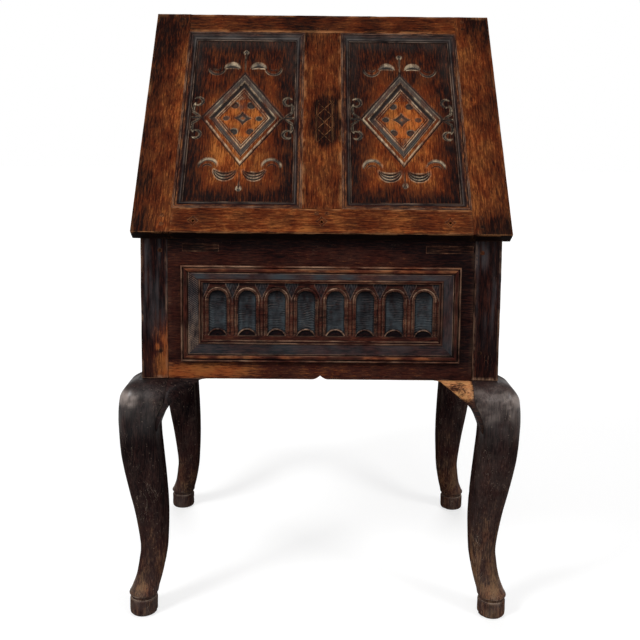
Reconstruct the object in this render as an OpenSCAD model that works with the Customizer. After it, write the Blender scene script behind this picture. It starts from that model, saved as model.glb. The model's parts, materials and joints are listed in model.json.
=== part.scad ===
// Oak desk box with a sloping, carved lid, standing on four cabriole legs.
// Origin: on the floor, under the middle of the case. +Z is up and -Y is the front.

/* [Case] */
// Width across the corner posts
case_w = 640; // [600:10:700]
// Depth across the corner posts
case_d = 466; // [450:2:510]
// Height of the underside of the case above the floor
leg_h = 438; // [410:2:480]
// Height at which the slope meets the front of the case
front_h = 693.8; // [680:0.2:740]
// Height of the upper face of the top board
top_h = 1103.7; // [1060:0.1:1130]
// Pitch of the slope above level, in degrees
slope_pitch = 55.2; // [54:0.1:58]
// Side of a square corner post
post_w = 48; // [46:1:54]
// Thickness of the front, side and back boards
board_t = 20; // [18:1:22]
// How far the front and back boards lie behind the faces of the posts
front_setback = 1; // [0.5:0.5:3]
// How far the side boards lie behind the faces of the posts
side_setback = 3; // [0.5:0.5:5]
// Height of the seam between the lower and upper side boards above the foot of the slope
side_seam_rise = 64.2; // [56:0.2:70]
// Thickness of the tongues that sit in the posts
tongue_t = 8; // [6:1:9]
// Length of a tongue in its groove
tongue_l = 22; // [14:1:24]
// Height of the lowest tongue above the underside of the case
tongue_rise = 36; // [34:1:60]
// Thickness of the bottom board
bottom_t = 12; // [9:1:18]
// Height of the ledger strips under the bottom board
ledger_h = 18; // [12:1:24]
// Thickness of the ledger strips
ledger_t = 15; // [10:1:20]
// Thickness of the top board
top_t = 20; // [18:1:24]
// Overhang of the top board at the sides
top_over = 13; // [4:1:20]
// Overhang of the top board at the back
top_back_over = 10; // [2:1:16]

/* [Front carving and moulding] */
// Distance of the moulded frame from the front posts
frame_inset = 24; // [14:1:36]
// Height of the moulded frame above the underside of the case
frame_rise = 33.4; // [30:0.2:36]
// Distance from the top of the moulded frame up to the foot of the slope
frame_drop = 50.4; // [44:0.2:56]
// Width of the upper strip of the moulded frame
frame_top_w = 31; // [28:1:34]
// Width of the lower strip of the moulded frame
frame_bottom_w = 38; // [36:1:42]
// Width of the two side strips of the moulded frame
frame_side_w = 38; // [34:1:42]
// How far the moulded frame stands proud of the front board
frame_proud = 8; // [6:0.5:10]
// Width of the half-round bead at the outer edge of the frame
frame_bead_w = 9; // [7:0.5:10]
// How far the carved panel runs in under the moulded frame
panel_lap = 12; // [8:1:16]
// Number of carved arches, which share the width of the panel
arch_count = 8; // [6:1:8]
// Width of the hollow of an arch
arch_hollow_w = 34; // [30:1:36]
// Height of the foot of the hollows above the lower frame strip
arch_foot = 8.4; // [6:0.2:10]
// Distance of the tops of the hollows below the upper frame strip
arch_head = 12.8; // [10:0.2:20]
// Depth of the hollow of an arch
arch_depth = 5; // [3:0.5:7]
// Width of the raised bead round each hollow
arch_bead_w = 4.5; // [3:0.5:5]
// Height of the rounded hump at the foot of each hollow
arch_hump_h = 11.4; // [8:0.2:14]
// Width of the small notch in the lower edge of the front board
notch_w = 30; // [20:2:44]
// Height of that notch
notch_h = 7; // [4:0.5:9]
// Depth of the two repair patches
patch_t = 3; // [2:0.5:4]
// Height of the repair patches
patch_h = 14; // [10:1:16]
// Gap between the top of the patches and the slope
patch_drop = 12; // [9:1:16]
// Length of the left patch
patch_left_l = 65; // [40:1:80]
// Length of the right patch
patch_right_l = 84; // [50:1:86]
// Distance of the left patch from the left post
patch_left_inset = 26; // [2:1:60]
// Distance of the right patch from the right post
patch_right_inset = 3; // [2:1:60]

/* [Lid] */
// Thickness of the lid frame
lid_t = 25; // [22:1:28]
// Overhang of the lid beyond the posts at each side
lid_over = 13; // [6:1:20]
// How far the lid runs past the front of the case, down the slope
lid_lip = 4.4; // [1:0.2:14]
// Width of the two stiles
stile_w = 68; // [60:1:76]
// Width of the bottom rail
bottom_rail_w = 50; // [44:1:60]
// Width of the top rail
top_rail_w = 46; // [40:1:56]
// Width of the middle muntin
muntin_w = 72; // [60:1:80]
// Thickness of the two panels
panel_t = 10; // [8:1:12]
// Depth of the panels' faces below the face of the lid frame
panel_drop = 9; // [7:0.5:10]
// How far the panels reach into the grooves of the frame
panel_tongue = 8; // [5:1:10]
// Width of the moulding round each panel
bead_w = 17; // [13:1:20]
// Length of the rail tenons in the stiles
tenon_l = 40; // [25:1:48]
// Shoulder above and below each tenon
tenon_shoulder = 7; // [4:1:9]
// Width of the carved lozenge
lozenge_w = 152; // [130:1:170]
// Height of the carved lozenge
lozenge_h = 210; // [180:1:240]
// Width of the lozenge's inner line
lozenge_inner_w = 88; // [70:1:100]
// Height of the lozenge's inner line
lozenge_inner_h = 127; // [100:1:140]
// Distance of the lozenge's centre from the foot of the lid
lozenge_up = 253; // [240:1:266]
// Width of the grooves that draw the lozenge
lozenge_cut = 3; // [2:0.5:5]
// Depth of those grooves
lozenge_depth = 1.5; // [1:0.25:3]
// Distance from the middle of the lid to the outer ledge holes
ledge_hole_x = 225.5; // [150:0.5:250]
// Distance of the ledge holes from the foot of the lid
ledge_hole_up = 24; // [18:1:30]
// Radius of the ledge holes
ledge_hole_r = 2.75; // [2:0.25:4]
// Depth of the ledge holes
ledge_hole_deep = 12; // [6:1:16]
// Radius of the worn recess round each ledge hole
ledge_worn_r = 7; // [5:0.5:9]

/* [Legs] */
// How far the knee stands out beyond the post
knee_out = 40; // [34:1:46]
// Depth of the widest part of the knee below the case
knee_drop = 67; // [60:1:76]
// Ledge that the leg's top makes round the post
shoulder_out = 6; // [3:0.5:9]
// How far the back of the knee is hollowed
knee_hollow = 16; // [10:1:20]
// Height of the ankle above the floor
ankle_h = 125; // [110:1:140]
// Width of the ankle
ankle_w = 49; // [43:1:53]
// How far the ankle's outer side stands out beyond the post
ankle_out = 8; // [3:0.5:12]
// Height of the toe's widest point above the floor
toe_h = 39; // [36:0.5:44]
// Radius of the toe at its widest
toe_r = 26.5; // [25:0.5:28.5]
// Distance of the toe's centre inside the face of the post
toe_in = 0; // [-3:0.2:4]
// Radius of the pad foot
pad_r = 25.5; // [22.5:0.5:26.5]
// Height of the pad foot
pad_h = 31; // [24:1:32]
// Distance of the pad's centre inside the face of the post
pad_in = 0; // [-2:0.2:3]
// Rounding of the pad's lower edge
pad_round = 4; // [2:0.5:6]
// Side of the square tenon on top of the leg
leg_tenon_w = 22; // [16:1:26]
// Height of that tenon
leg_tenon_h = 30; // [20:1:32]

/* [Knee brackets] */
// Length of a bracket along the case
ear_l = 68; // [56:1:80]
// Height of a bracket
ear_h = 93; // [90:1:98]
// Thickness of a bracket behind the face of the post
ear_t = 20; // [14:1:22]

/* [Hinges and pegs] */
// Length of a hinge
hinge_l = 70; // [60:5:90]
// Distance from the middle of the lid to the middle of a hinge
hinge_x = 200; // [150:5:220]
// Width of a hinge leaf from the edge of the lid
leaf_w = 20; // [16:1:21]
// Thickness of a hinge leaf
leaf_t = 1.6; // [1.2:0.1:2]
// Radius of the hinge barrel
barrel_r = 3.5; // [3.2:0.1:4]
// Radius of the hinge pin
pin_r = 1.6; // [1.2:0.1:1.8]
// Running clearance round the hinge pin
pin_gap = 0.05; // [0.02:0.01:0.1]
// Number of knuckles on one hinge
knuckles = 5; // [3:2:7]
// Distance of the outer screws from the ends of a leaf
screw_edge = 11; // [8:1:16]
// Distance of the outer screws from the free edge of a leaf
screw_row = 7; // [5:0.5:9]
// Distance of the middle screw from the free edge of a leaf
screw_mid_row = 12; // [10:0.5:13]
// Radius of a hinge screw
screw_r = 1.5; // [1.2:0.1:1.8]
// Radius of a hinge screw's head
screw_head_r = 3; // [2.5:0.1:3.4]
// Length of a hinge screw
screw_l = 11; // [8:1:12]
// Radius of an oak peg
peg_r = 4; // [3:0.5:4.5]
// Length of an oak peg in the posts
peg_l = 21; // [18:1:22]
// Distance of the end pegs of a joint from the ends of its tongue
peg_end = 15; // [10:1:24]
// Offset in height between the pegs on the two faces of a post
peg_stagger = 12; // [10:1:16]
// Half the distance between the two pegs of a lid joint
lid_peg_half = 9; // [7:1:11]
// Distance of the lid's pegs from the shoulder of the joint
lid_peg_in = 15; // [10:1:20]
// Distance of the rear posts' second pegs below the seam of the side boards
seam_peg_drop = 29.4; // [24:0.2:40]

/* [Hidden] */

// Clearances: between glued or grooved wood, under the lid, round pegs and round the hinge barrels
fit_gap = 0.15;
seat_gap = 0.2;
peg_gap = 0.05;
barrel_room = 1.3;
// Wood left between the muntin's lower tenon and the middle ledge hole
ledge_wall = 3.25;
// Overshoot of a cutting shape past the face it opens
over = 1;
// Size of a cutting block that is larger than the whole piece of furniture
far = 3000;
$fn = 48;

lid_w = case_w + 2 * lid_over;
lid_len = lid_lip + (top_h - front_h) / sin(slope_pitch);
lid_foot_y = -case_d / 2 - lid_lip * cos(slope_pitch);
lid_foot_z = front_h - lid_lip * sin(slope_pitch);
// Height of the slope over a given depth, y
function slope_z(y) = front_h + (y + case_d / 2) * tan(slope_pitch);

inner_x = case_w / 2 - post_w;
inner_y = case_d / 2 - post_w;
carcass_top = top_h - top_t;
front_y = -case_d / 2 + front_setback;
side_x = case_w / 2 - side_setback;
side_seam_h = front_h + side_seam_rise;
tongue_z = leg_h + tongue_rise;
// The tongues stop this far below the slope or the top board, inside the posts
tongue_stop = 9;

// ---------- shared shapes ----------

module flipped(on, axis) {
  if (on) mirror(axis) children();
  else children();
}

// Places a piece drawn for the right rear corner, with its origin on the post's outer edge
module at_corner(side, end) {
  flipped(side < 0, [1, 0, 0]) flipped(end < 0, [0, 1, 0])
    translate([case_w / 2, case_d / 2, 0]) children();
}

// Block from one corner to the opposite one
module block(low, high) {
  translate(low) cube(high - low);
}

// Everything that lies above the seat of the lid
module above_slope(lift = 0) {
  translate([0, -case_d / 2, front_h]) rotate([slope_pitch, 0, 0])
    translate([-far / 2, -far / 2, lift]) cube(far);
}

// The lid's own frame: x across, y up the slope from its foot, z out of its face
module on_lid() {
  translate([0, lid_foot_y, lid_foot_z]) rotate([slope_pitch, 0, 0]) children();
}

// ---------- legs ----------

// Smooth curve through the second to last but one rows of a list
function blend(a, b, c, d, t) =
  0.5 * (2 * b + (c - a) * t + (2 * a - 5 * b + 4 * c - d) * t * t
  + (3 * b - a - 3 * c + d) * t * t * t);

// Leg stations from the case to the floor. Each row is: height, outer face and inner face
// measured from the face of the post, rounding of the outer, side and inner corners.
mid_h = leg_h - knee_drop - ankle_h;
shoulder_drops = [8, 23, 38];
leg_rows = [
  [leg_h, shoulder_out, -post_w, 5, 1.5, 2],
  [leg_h - shoulder_drops[0], knee_out - 18, -post_w, 14, 1.5, 2],
  [leg_h - shoulder_drops[1], knee_out - 6, -post_w, 24, 2, 2],
  [leg_h - shoulder_drops[2], knee_out - 2, -post_w + knee_hollow * 0.25, 29, 3, 3],
  [leg_h - knee_drop, knee_out, -post_w + knee_hollow, 31, 6, 3],
  [leg_h - knee_drop - 29, knee_out - 0.8, -post_w + knee_hollow * 1.05, 31, 10, 4],
  [ankle_h + mid_h * 0.70, ankle_out + (knee_out - ankle_out) * 0.87, -34.5, 29, 12, 4],
  [ankle_h + mid_h * 0.47, ankle_out + (knee_out - ankle_out) * 0.58, -39, 27, 13, 5],
  [ankle_h + mid_h * 0.24, ankle_out + (knee_out - ankle_out) * 0.24, -42, 24, 14, 7],
  [ankle_h, ankle_out, ankle_out - ankle_w, 21, 15, 11],
  [ankle_h * 0.78, ankle_out + 1.6, ankle_out - ankle_w + 2.5, 21, 17, 14],
  [ankle_h * 0.54, ankle_out + 7, ankle_out - ankle_w + 8, 23, 21, 20],
  [toe_h + 9, toe_r - toe_in - 4.5, -toe_r - toe_in - 1.5, 24, 23, 23],
  [toe_h, toe_r - toe_in, -toe_r - toe_in, toe_r, toe_r, toe_r],
  [toe_h - 4, pad_r - pad_in - 1, -pad_r - pad_in + 2, pad_r - 1, pad_r - 1, pad_r - 1],
  [pad_h - 1, pad_r - pad_in - 3, -pad_r - pad_in + 3, pad_r - 3, pad_r - 3, pad_r - 3]
];

// One row blended between two stations
function leg_row(k, t) =
  let (last = len(leg_rows) - 1,
       a = leg_rows[max(k - 1, 0)], b = leg_rows[k],
       c = leg_rows[min(k + 1, last)], d = leg_rows[min(k + 2, last)])
  blend(a, b, c, d, t);

// Quarter arc of a corner
arc_steps = 5;
function corner_arc(x, y, sx, sy, r, turn) =
  [for (i = [0 : arc_steps])
    let (a = turn + 90 * i / arc_steps)
    [x - sx * r + r * cos(a), y - sy * r + r * sin(a)]];

// Rounded square between the inner and outer faces of a row
function leg_ring(row) =
  let (o = row[1], i = row[2], half = (o - i) / 2 - 0.05,
       ro = min(row[3], half), rs = min(row[4], half), ri = min(row[5], half))
  concat(corner_arc(o, o, 1, 1, ro, 0), corner_arc(i, o, -1, 1, rs, 90),
         corner_arc(i, i, -1, -1, ri, 180), corner_arc(o, i, 1, -1, rs, 270));

// Closed skin through rings of points that all have the same count
module loft(rings, heights) {
  n = len(rings[0]);
  m = len(rings);
  points = [for (k = [0 : m - 1]) for (p = rings[k]) [p[0], p[1], heights[k]]];
  sides = [for (k = [0 : m - 2]) for (i = [0 : n - 1])
    let (a = k * n + i, b = k * n + (i + 1) % n)
    each [[a, b, a + n], [b, b + n, a + n]]];
  polyhedron(points, concat([[for (i = [n - 1 : -1 : 0]) i]], sides,
    [[for (i = [0 : n - 1]) (m - 1) * n + i]]), 4);
}

leg_steps = 2;
leg_path = [for (k = [0 : len(leg_rows) - 2]) for (j = [0 : leg_steps - 1])
  leg_row(k, j / leg_steps)];
leg_all = concat(leg_path, [leg_rows[len(leg_rows) - 1]]);

module pad() {
  flat_r = pad_r - pad_round;
  translate([-pad_in, -pad_in, 0]) rotate_extrude() {
    square([flat_r, pad_h]);
    translate([0, pad_round]) square([pad_r, pad_h - 2 * pad_round]);
    translate([flat_r, pad_round]) circle(pad_round);
    translate([flat_r, pad_h - pad_round]) circle(pad_round);
  }
}

module leg() {
  loft([for (row = leg_all) leg_ring(row)], [for (row = leg_all) row[0]]);
  pad();
  translate([-post_w / 2, -post_w / 2, leg_h - over])
    translate([-leg_tenon_w / 2, -leg_tenon_w / 2, 0])
    cube([leg_tenon_w, leg_tenon_w, leg_tenon_h + over]);
}

module leg_at(side, end) {
  color([0.14, 0.09, 0.07]) at_corner(side, end) leg();
}

// ---------- knee brackets ----------

// Lower edge of a bracket: drop below the case, and distance from the inner face of the post
ear_edge = [
  [0, ear_l], [1, ear_l - 8], [2.6, ear_l - 13], [6, ear_l - 17],
  [ear_h * 0.366, 12.5], [ear_h * 0.43, 6.5], [ear_h * 0.5, 2], [ear_h * 0.55, -1],
  [ear_h * 0.72, -9], [ear_h * 0.88, -15], [ear_h, -18]
];

// Row of the leg at a given height, so that a bracket follows the leg's own faces
function leg_at_height(z) =
  let (k = max([for (i = [0 : len(leg_all) - 2]) if (leg_all[i][0] >= z) i]),
       a = leg_all[k], b = leg_all[k + 1])
  a + (b - a) * (a[0] - z) / (a[0] - b[0]);

function sorted(v) = len(v) < 2 ? v :
  let (p = v[0], rest = [for (i = [1 : len(v) - 1]) v[i]])
  concat(sorted([for (x = rest) if (x < p) x]), [p], sorted([for (x = rest) if (x > p) x]));

// Heights of the bracket's rings, below the case: its own bends and those of the leg
ear_end = ear_h * 0.94;
ear_bends = sorted([for (d = concat([for (e = ear_edge) e[0]], [for (row = leg_all) leg_h - row[0]],
  [ear_end])) if (d <= ear_end) d]);
ear_drops = [for (i = [0 : len(ear_bends) - 1])
  if (i == 0 || ear_bends[i] - ear_bends[i - 1] > 0.2) ear_bends[i]];

function ear_reach(drop) = lookup(drop, ear_edge);

// Front face of the bracket fades from the knee's swell to the plane of the post
ear_faces = 6;
function ear_ring(drop) =
  let (row = leg_at_height(leg_h - drop),
       near = row[2] - fit_gap, tip = min(-post_w - ear_reach(drop), near - 0.8),
       back = -ear_t)
  concat([[near, back]],
    [for (i = [0 : ear_faces])
      let (f = i / ear_faces, x = near + (tip - near) * f,
           s = max(0, 1 - (-post_w - x) / ear_l))
      [x, max(back + 2, (row[1] - 0.5) * min(1, s * s * 1.1) - front_setback * (1 - s))]],
    [[tip, back]]);

module ear() {
  loft([for (d = ear_drops) ear_ring(d)], [for (d = ear_drops) leg_h - d - fit_gap]);
}

module front_bracket(side) {
  color([0.16, 0.10, 0.07]) at_corner(side, -1) ear();
}

module side_bracket(side, end) {
  color([0.16, 0.10, 0.07]) at_corner(side, end) mirror([1, -1, 0]) ear();
}

// ---------- posts ----------

// Grooves run along both inner faces of a post. Lines up with the middle of the boards.
front_tongue_y = front_setback + board_t / 2;
side_tongue_x = side_setback + board_t / 2;

// Highest point of the side tongue in a front post, and of the front tongue
side_tongue_top = slope_z(-inner_y - tongue_l) - tongue_stop;
front_tongue_top = front_h - tongue_stop;

// Peg places, measured inward from the outer faces of a post, and their heights
peg_past_middle = 2;
peg_inset = post_w - tongue_l / 2 - peg_past_middle;
front_peg_z = [tongue_z + peg_end, front_tongue_top - peg_end];
rear_peg_z = [tongue_z + peg_end, side_seam_h - seam_peg_drop,
  (side_seam_h + carcass_top) / 2, carcass_top - tongue_stop - peg_end];

module post_blank(end) {
  difference() {
    translate([-post_w, -post_w, leg_h]) cube([post_w, post_w, carcass_top - leg_h]);
    translate([-post_w / 2 - leg_tenon_w / 2 - fit_gap, -post_w / 2 - leg_tenon_w / 2 - fit_gap,
      leg_h - over])
      cube([leg_tenon_w + 2 * fit_gap, leg_tenon_w + 2 * fit_gap, leg_tenon_h + over + fit_gap]);
    // groove for the front or back board
    block([-post_w - over, -front_tongue_y - tongue_t / 2 - fit_gap, tongue_z - fit_gap],
      [-post_w + tongue_l + fit_gap, -front_tongue_y + tongue_t / 2 + fit_gap,
      (end < 0 ? front_tongue_top : carcass_top - tongue_stop) + fit_gap]);
    // groove for the side boards
    block([-side_tongue_x - tongue_t / 2 - fit_gap, -post_w - over, tongue_z - fit_gap],
      [-side_tongue_x + tongue_t / 2 + fit_gap, -post_w + tongue_l + fit_gap,
      (end < 0 ? side_tongue_top : carcass_top - tongue_stop) + fit_gap]);
    corner_pegs(end, peg_r + peg_gap, peg_gap);
  }
}

// Pegs of one corner: through the front or back tongue, and through the side tongue
module corner_pegs(end, r, extra) {
  heights = end < 0 ? front_peg_z : rear_peg_z;
  for (k = [0 : len(heights) - 1]) {
    side_z = heights[k] + (k == 0 ? peg_stagger : -peg_stagger);
    translate([-peg_inset, extra, heights[k]]) rotate([90, 0, 0])
      cylinder(h = peg_l + 2 * extra, r = r);
    translate([extra, -peg_inset, side_z]) rotate([0, -90, 0])
      cylinder(h = peg_l + 2 * extra, r = r);
  }
}

module post(side, end) {
  color([0.15, 0.09, 0.07]) difference() {
    at_corner(side, end) post_blank(end);
    if (end < 0) above_slope(-seat_gap);
  }
}

module case_pegs() {
  color([0.22, 0.13, 0.08])
    for (side = [-1, 1]) for (end = [-1, 1])
      at_corner(side, end) corner_pegs(end, peg_r, 0);
}

// ---------- front ----------

frame_z = leg_h + frame_rise;
frame_h = front_h - frame_drop - frame_z;
frame_w = 2 * (inner_x - frame_inset);
field_low = frame_z + frame_bottom_w;
field_high = frame_z + frame_h - frame_top_w;
field_x = frame_w / 2 - frame_side_w;
arch_hollow_h = field_high - field_low - arch_foot - arch_head;
arch_pitch = 2 * field_x / arch_count;
patch_z = front_h - patch_drop - patch_h;

// Region of the carved panel, grown by a clearance
module panel_block(grow, behind) {
  block([-field_x - panel_lap - grow, front_y - (behind > 0 ? over : 0), field_low - panel_lap - grow],
    [field_x + panel_lap + grow, front_y + board_t + behind, field_high + panel_lap + grow]);
}

// Region of a repair patch, measured from its post
module patch_block(side, grow) {
  length = side < 0 ? patch_left_l : patch_right_l;
  inset = side < 0 ? patch_left_inset : patch_right_inset;
  flipped(side < 0, [1, 0, 0])
    block([inner_x - inset - length - grow, front_y - (grow > 0 ? over : 0), patch_z - grow],
      [inner_x - inset + grow, front_y + patch_t + grow, patch_z + patch_h + grow]);
}

module front_tongue(side) {
  flipped(side < 0, [1, 0, 0])
    block([inner_x - over, -case_d / 2 + front_tongue_y - tongue_t / 2, tongue_z],
      [inner_x + tongue_l, -case_d / 2 + front_tongue_y + tongue_t / 2, front_tongue_top]);
}

module peg_holes() {
  for (side = [-1, 1]) for (end = [-1, 1])
    at_corner(side, end) corner_pegs(end, peg_r + peg_gap, peg_gap);
}

// Small pointed notch with hollow shoulders in the lower edge
module notch() {
  steps = 6;
  half = [for (i = [0 : steps]) let (t = i / steps) [notch_w / 2 * (1 - t), notch_h * t * t]];
  outline = concat([[notch_w / 2, -over]], half,
    [for (i = [steps : -1 : 0]) [-half[i][0], half[i][1]]], [[-notch_w / 2, -over]]);
  translate([0, front_y + board_t + over, leg_h]) rotate([90, 0, 0])
    linear_extrude(board_t + 2 * over) polygon(outline);
}

module front_board() {
  color([0.17, 0.10, 0.07]) difference() {
    union() {
      block([-inner_x, front_y, leg_h], [inner_x, front_y + board_t, slope_z(front_y + board_t)]);
      for (side = [-1, 1]) front_tongue(side);
    }
    above_slope(-seat_gap);
    panel_block(fit_gap, over);
    for (side = [-1, 1]) patch_block(side, fit_gap);
    notch();
    peg_holes();
  }
}

// Arch outline standing on z = 0, wider than the hollow by grow on every side
module arch_outline(grow) {
  r = arch_hollow_w / 2;
  intersection() {
    translate([0, arch_hollow_h - r]) union() {
      circle(r + grow);
      translate([-r - grow, -far]) square([2 * (r + grow), far]);
    }
    translate([-far / 2, 0]) square(far);
  }
}

// Rounded hump that fills the foot of each hollow
module arch_hump() {
  r = (pow(arch_hollow_w / 2, 2) + pow(arch_hump_h, 2)) / (2 * arch_hump_h);
  translate([0, arch_hump_h - r]) circle(r);
}

module on_front(depth) {
  translate([0, front_y + depth, 0]) rotate([90, 0, 0]) children();
}

module carved_front_panel() {
  groove_w = 1.5;
  groove_depth = 1.2;
  color([0.20, 0.14, 0.12]) difference() {
    panel_block(0, 0);
    for (k = [0 : arch_count - 1])
      translate([(k - (arch_count - 1) / 2) * arch_pitch, 0, field_low + arch_foot]) {
        on_front(arch_depth) linear_extrude(arch_depth + over)
          difference() { arch_outline(0); arch_hump(); }
        on_front(groove_depth) linear_extrude(groove_depth + over)
          difference() {
            arch_outline(arch_bead_w + groove_w);
            arch_outline(arch_bead_w);
          }
      }
  }
}

// Section of the front moulding from its outer edge, x, and its height, y
function frame_section(w) =
  let (r = frame_bead_w / 2, h = frame_proud, steps = 6)
  concat([[0, 0]],
    [for (i = [0 : steps]) let (a = 180 - 180 * i / steps)
      [r + r * cos(a), h - r * 0.6 + r * 0.6 * sin(a)]],
    [[frame_bead_w, h - 4.4], [frame_bead_w + 1.6, h - 4.4], [frame_bead_w + 2.4, h - 2.2],
     [w - 10, h - 3.4], [w - 5.5, h - 4.6], [w - 5, h - 5.4], [w - 1.2, h - 5.4], [w, h - 6.6], [w, 0]]);

// Strip of the frame along one edge: its profile runs inward from y = 0, mitred at both ends
module mitred_strip(section, length, width, near_w, far_w) {
  intersection() {
    rotate([90, 0, 90]) linear_extrude(length) polygon(section);
    translate([0, 0, -over]) linear_extrude(far)
      polygon([[0, 0], [length, 0], [length - far_w, width], [near_w, width]]);
  }
}

module frame_piece(place, turn, length, width, near_w, far_w) {
  color([0.19, 0.13, 0.12]) translate([place[0], front_y, place[1]]) rotate([90, 0, 0])
    rotate([0, 0, turn]) mitred_strip(frame_section(width), length, width, near_w, far_w);
}

module front_moulding_bottom() {
  frame_piece([-frame_w / 2, frame_z], 0, frame_w, frame_bottom_w, frame_side_w, frame_side_w);
}

module front_moulding_top() {
  frame_piece([frame_w / 2, frame_z + frame_h], 180, frame_w, frame_top_w,
    frame_side_w, frame_side_w);
}

module front_moulding_right() {
  frame_piece([frame_w / 2, frame_z], 90, frame_h, frame_side_w, frame_bottom_w, frame_top_w);
}

module front_moulding_left() {
  frame_piece([-frame_w / 2, frame_z + frame_h], -90, frame_h, frame_side_w,
    frame_top_w, frame_bottom_w);
}

module patch(side) {
  color([0.23, 0.14, 0.11]) patch_block(side, 0);
}

// ---------- sides, back, bottom and top ----------

module side_board(side, low, high) {
  tongue_low = max(low, tongue_z);
  color([0.19, 0.12, 0.08]) difference() {
    flipped(side < 0, [1, 0, 0]) {
      block([side_x - board_t, -inner_y, low], [side_x, inner_y, high]);
      block([case_w / 2 - side_tongue_x - tongue_t / 2, inner_y - over, tongue_low],
        [case_w / 2 - side_tongue_x + tongue_t / 2, inner_y + tongue_l,
        min(high, carcass_top - tongue_stop)]);
      if (low < side_tongue_top)
        block([case_w / 2 - side_tongue_x - tongue_t / 2, -inner_y - tongue_l, tongue_low],
          [case_w / 2 - side_tongue_x + tongue_t / 2, -inner_y + over,
          min(high, side_tongue_top)]);
    }
    above_slope(-seat_gap);
    peg_holes();
  }
}

module side_lower(side) {
  side_board(side, leg_h, side_seam_h);
}

module side_upper(side) {
  side_board(side, side_seam_h + fit_gap, carcass_top);
}

// Three back boards share the height between the underside of the case and the top board
back_share = (carcass_top - leg_h) / 3;

module back_board(k) {
  low = leg_h + k * back_share + (k > 0 ? fit_gap : 0);
  high = leg_h + (k + 1) * back_share;
  back_y = case_d / 2 - front_setback;
  tongue_y = case_d / 2 - front_tongue_y;
  color([0.22, 0.15, 0.10]) difference() {
    union() {
      block([-inner_x, back_y - board_t, low], [inner_x, back_y, high]);
      block([-inner_x - tongue_l, tongue_y - tongue_t / 2, max(low, tongue_z)],
        [inner_x + tongue_l, tongue_y + tongue_t / 2, min(high, carcass_top - tongue_stop)]);
    }
    peg_holes();
  }
}

// The ledger strips lie this far above the underside of the case
ledger_rise = 2;
ledger_low = leg_h + ledger_rise;
bottom_low = ledger_low + ledger_h;

module bottom_board() {
  half_x = side_x - board_t - fit_gap;
  half_y = -front_y - board_t - fit_gap;
  color([0.26, 0.18, 0.12]) difference() {
    block([-half_x, -half_y, bottom_low], [half_x, half_y, bottom_low + bottom_t]);
    for (side = [-1, 1]) for (end = [-1, 1])
      at_corner(side, end)
        block([-post_w - fit_gap, -post_w - fit_gap, 0], [over, over, top_h]);
  }
}

module bottom_ledger(end) {
  color([0.24, 0.16, 0.11]) flipped(end > 0, [0, 1, 0])
    block([-inner_x + fit_gap, front_y + board_t, ledger_low],
      [inner_x - fit_gap, front_y + board_t + ledger_t, bottom_low]);
}

module top_board() {
  back_y = case_d / 2 + top_back_over;
  color([0.20, 0.12, 0.08]) difference() {
    block([-case_w / 2 - top_over, -inner_y, carcass_top], [case_w / 2 + top_over, back_y, top_h]);
    above_slope(-seat_gap);
    for (side = [-1, 1]) on_lid() translate([side * hinge_x, 0, 0]) {
      leaf_recess(-1);
      barrel(hinge_l + 2 * fit_gap, barrel_r + barrel_room);
      hinge_screw_row(-1, screw_r + peg_gap, peg_gap);
    }
  }
}

// ---------- lid ----------

open_low = bottom_rail_w;
open_high = lid_len - top_rail_w;
open_in = muntin_w / 2;
open_out = lid_w / 2 - stile_w;
panel_face = lid_t - panel_drop;
panel_back = panel_face - panel_t;
// The pegs of the lid run this far past the back of the tenons
peg_past_tenon = 3;
peg_low = panel_back - peg_past_tenon;

// Groove round one opening of the lid, for the panel's edge
module panel_groove(side) {
  flipped(side < 0, [1, 0, 0])
    block([open_in - panel_tongue, open_low - panel_tongue, panel_back - fit_gap],
      [open_out + panel_tongue, open_high + panel_tongue, panel_face + fit_gap]);
}

// Tenon of a rail in one stile, from the rail's lower and upper edge
module rail_tenon(side, low, high, grow) {
  flipped(side < 0, [1, 0, 0])
    block([open_out - over, low + tenon_shoulder - grow, panel_back - grow],
      [open_out + tenon_l + grow, high - tenon_shoulder + grow, panel_face + grow]);
}

// Tenons of the muntin in the bottom and top rails
muntin_tenon_l = bottom_rail_w - ledge_hole_up - ledge_hole_r - ledge_wall;
module muntin_tenons(grow) {
  half = muntin_w / 2 - panel_tongue - 2 + grow;
  block([-half, open_low - muntin_tenon_l - grow, panel_back - grow],
    [half, open_low + over, panel_face + grow]);
  block([-half, open_high - over, panel_back - grow],
    [half, open_high + muntin_tenon_l + grow, panel_face + grow]);
}

// Pegs of the lid frame: two through each rail tenon and two through each muntin tenon
module lid_peg_set(r, extra) {
  rail_pegs = [for (v = [bottom_rail_w / 2, lid_len - top_rail_w / 2]) for (side = [-1, 1])
    for (e = [-1, 1]) [side * (open_out + lid_peg_in), v + e * lid_peg_half]];
  muntin_pegs = [for (v = [open_low - muntin_tenon_l / 2, open_high + muntin_tenon_l / 2])
    for (e = [-1, 1]) [e * lid_peg_half, v]];
  for (p = concat(rail_pegs, muntin_pegs)) translate([p[0], p[1], peg_low - extra])
    cylinder(h = lid_t - peg_low + 2 * extra, r = r);
}

module lid_pegs() {
  color([0.25, 0.14, 0.08]) on_lid() lid_peg_set(peg_r, 0);
}

module lid_stile(side) {
  color([0.27, 0.13, 0.07]) on_lid() difference() {
    flipped(side < 0, [1, 0, 0]) block([open_out, 0, 0], [lid_w / 2, lid_len, lid_t]);
    rail_tenon(side, 0, bottom_rail_w, fit_gap);
    rail_tenon(side, open_high, lid_len, fit_gap);
    panel_groove(side);
    lid_peg_set(peg_r + peg_gap, peg_gap);
  }
}

module lid_rail(low, high) {
  block([-open_out, low, 0], [open_out, high, lid_t]);
  for (side = [-1, 1]) rail_tenon(side, low, high, 0);
}

module rail_cuts() {
  for (side = [-1, 1]) panel_groove(side);
  muntin_tenons(fit_gap);
  lid_peg_set(peg_r + peg_gap, peg_gap);
}

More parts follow.
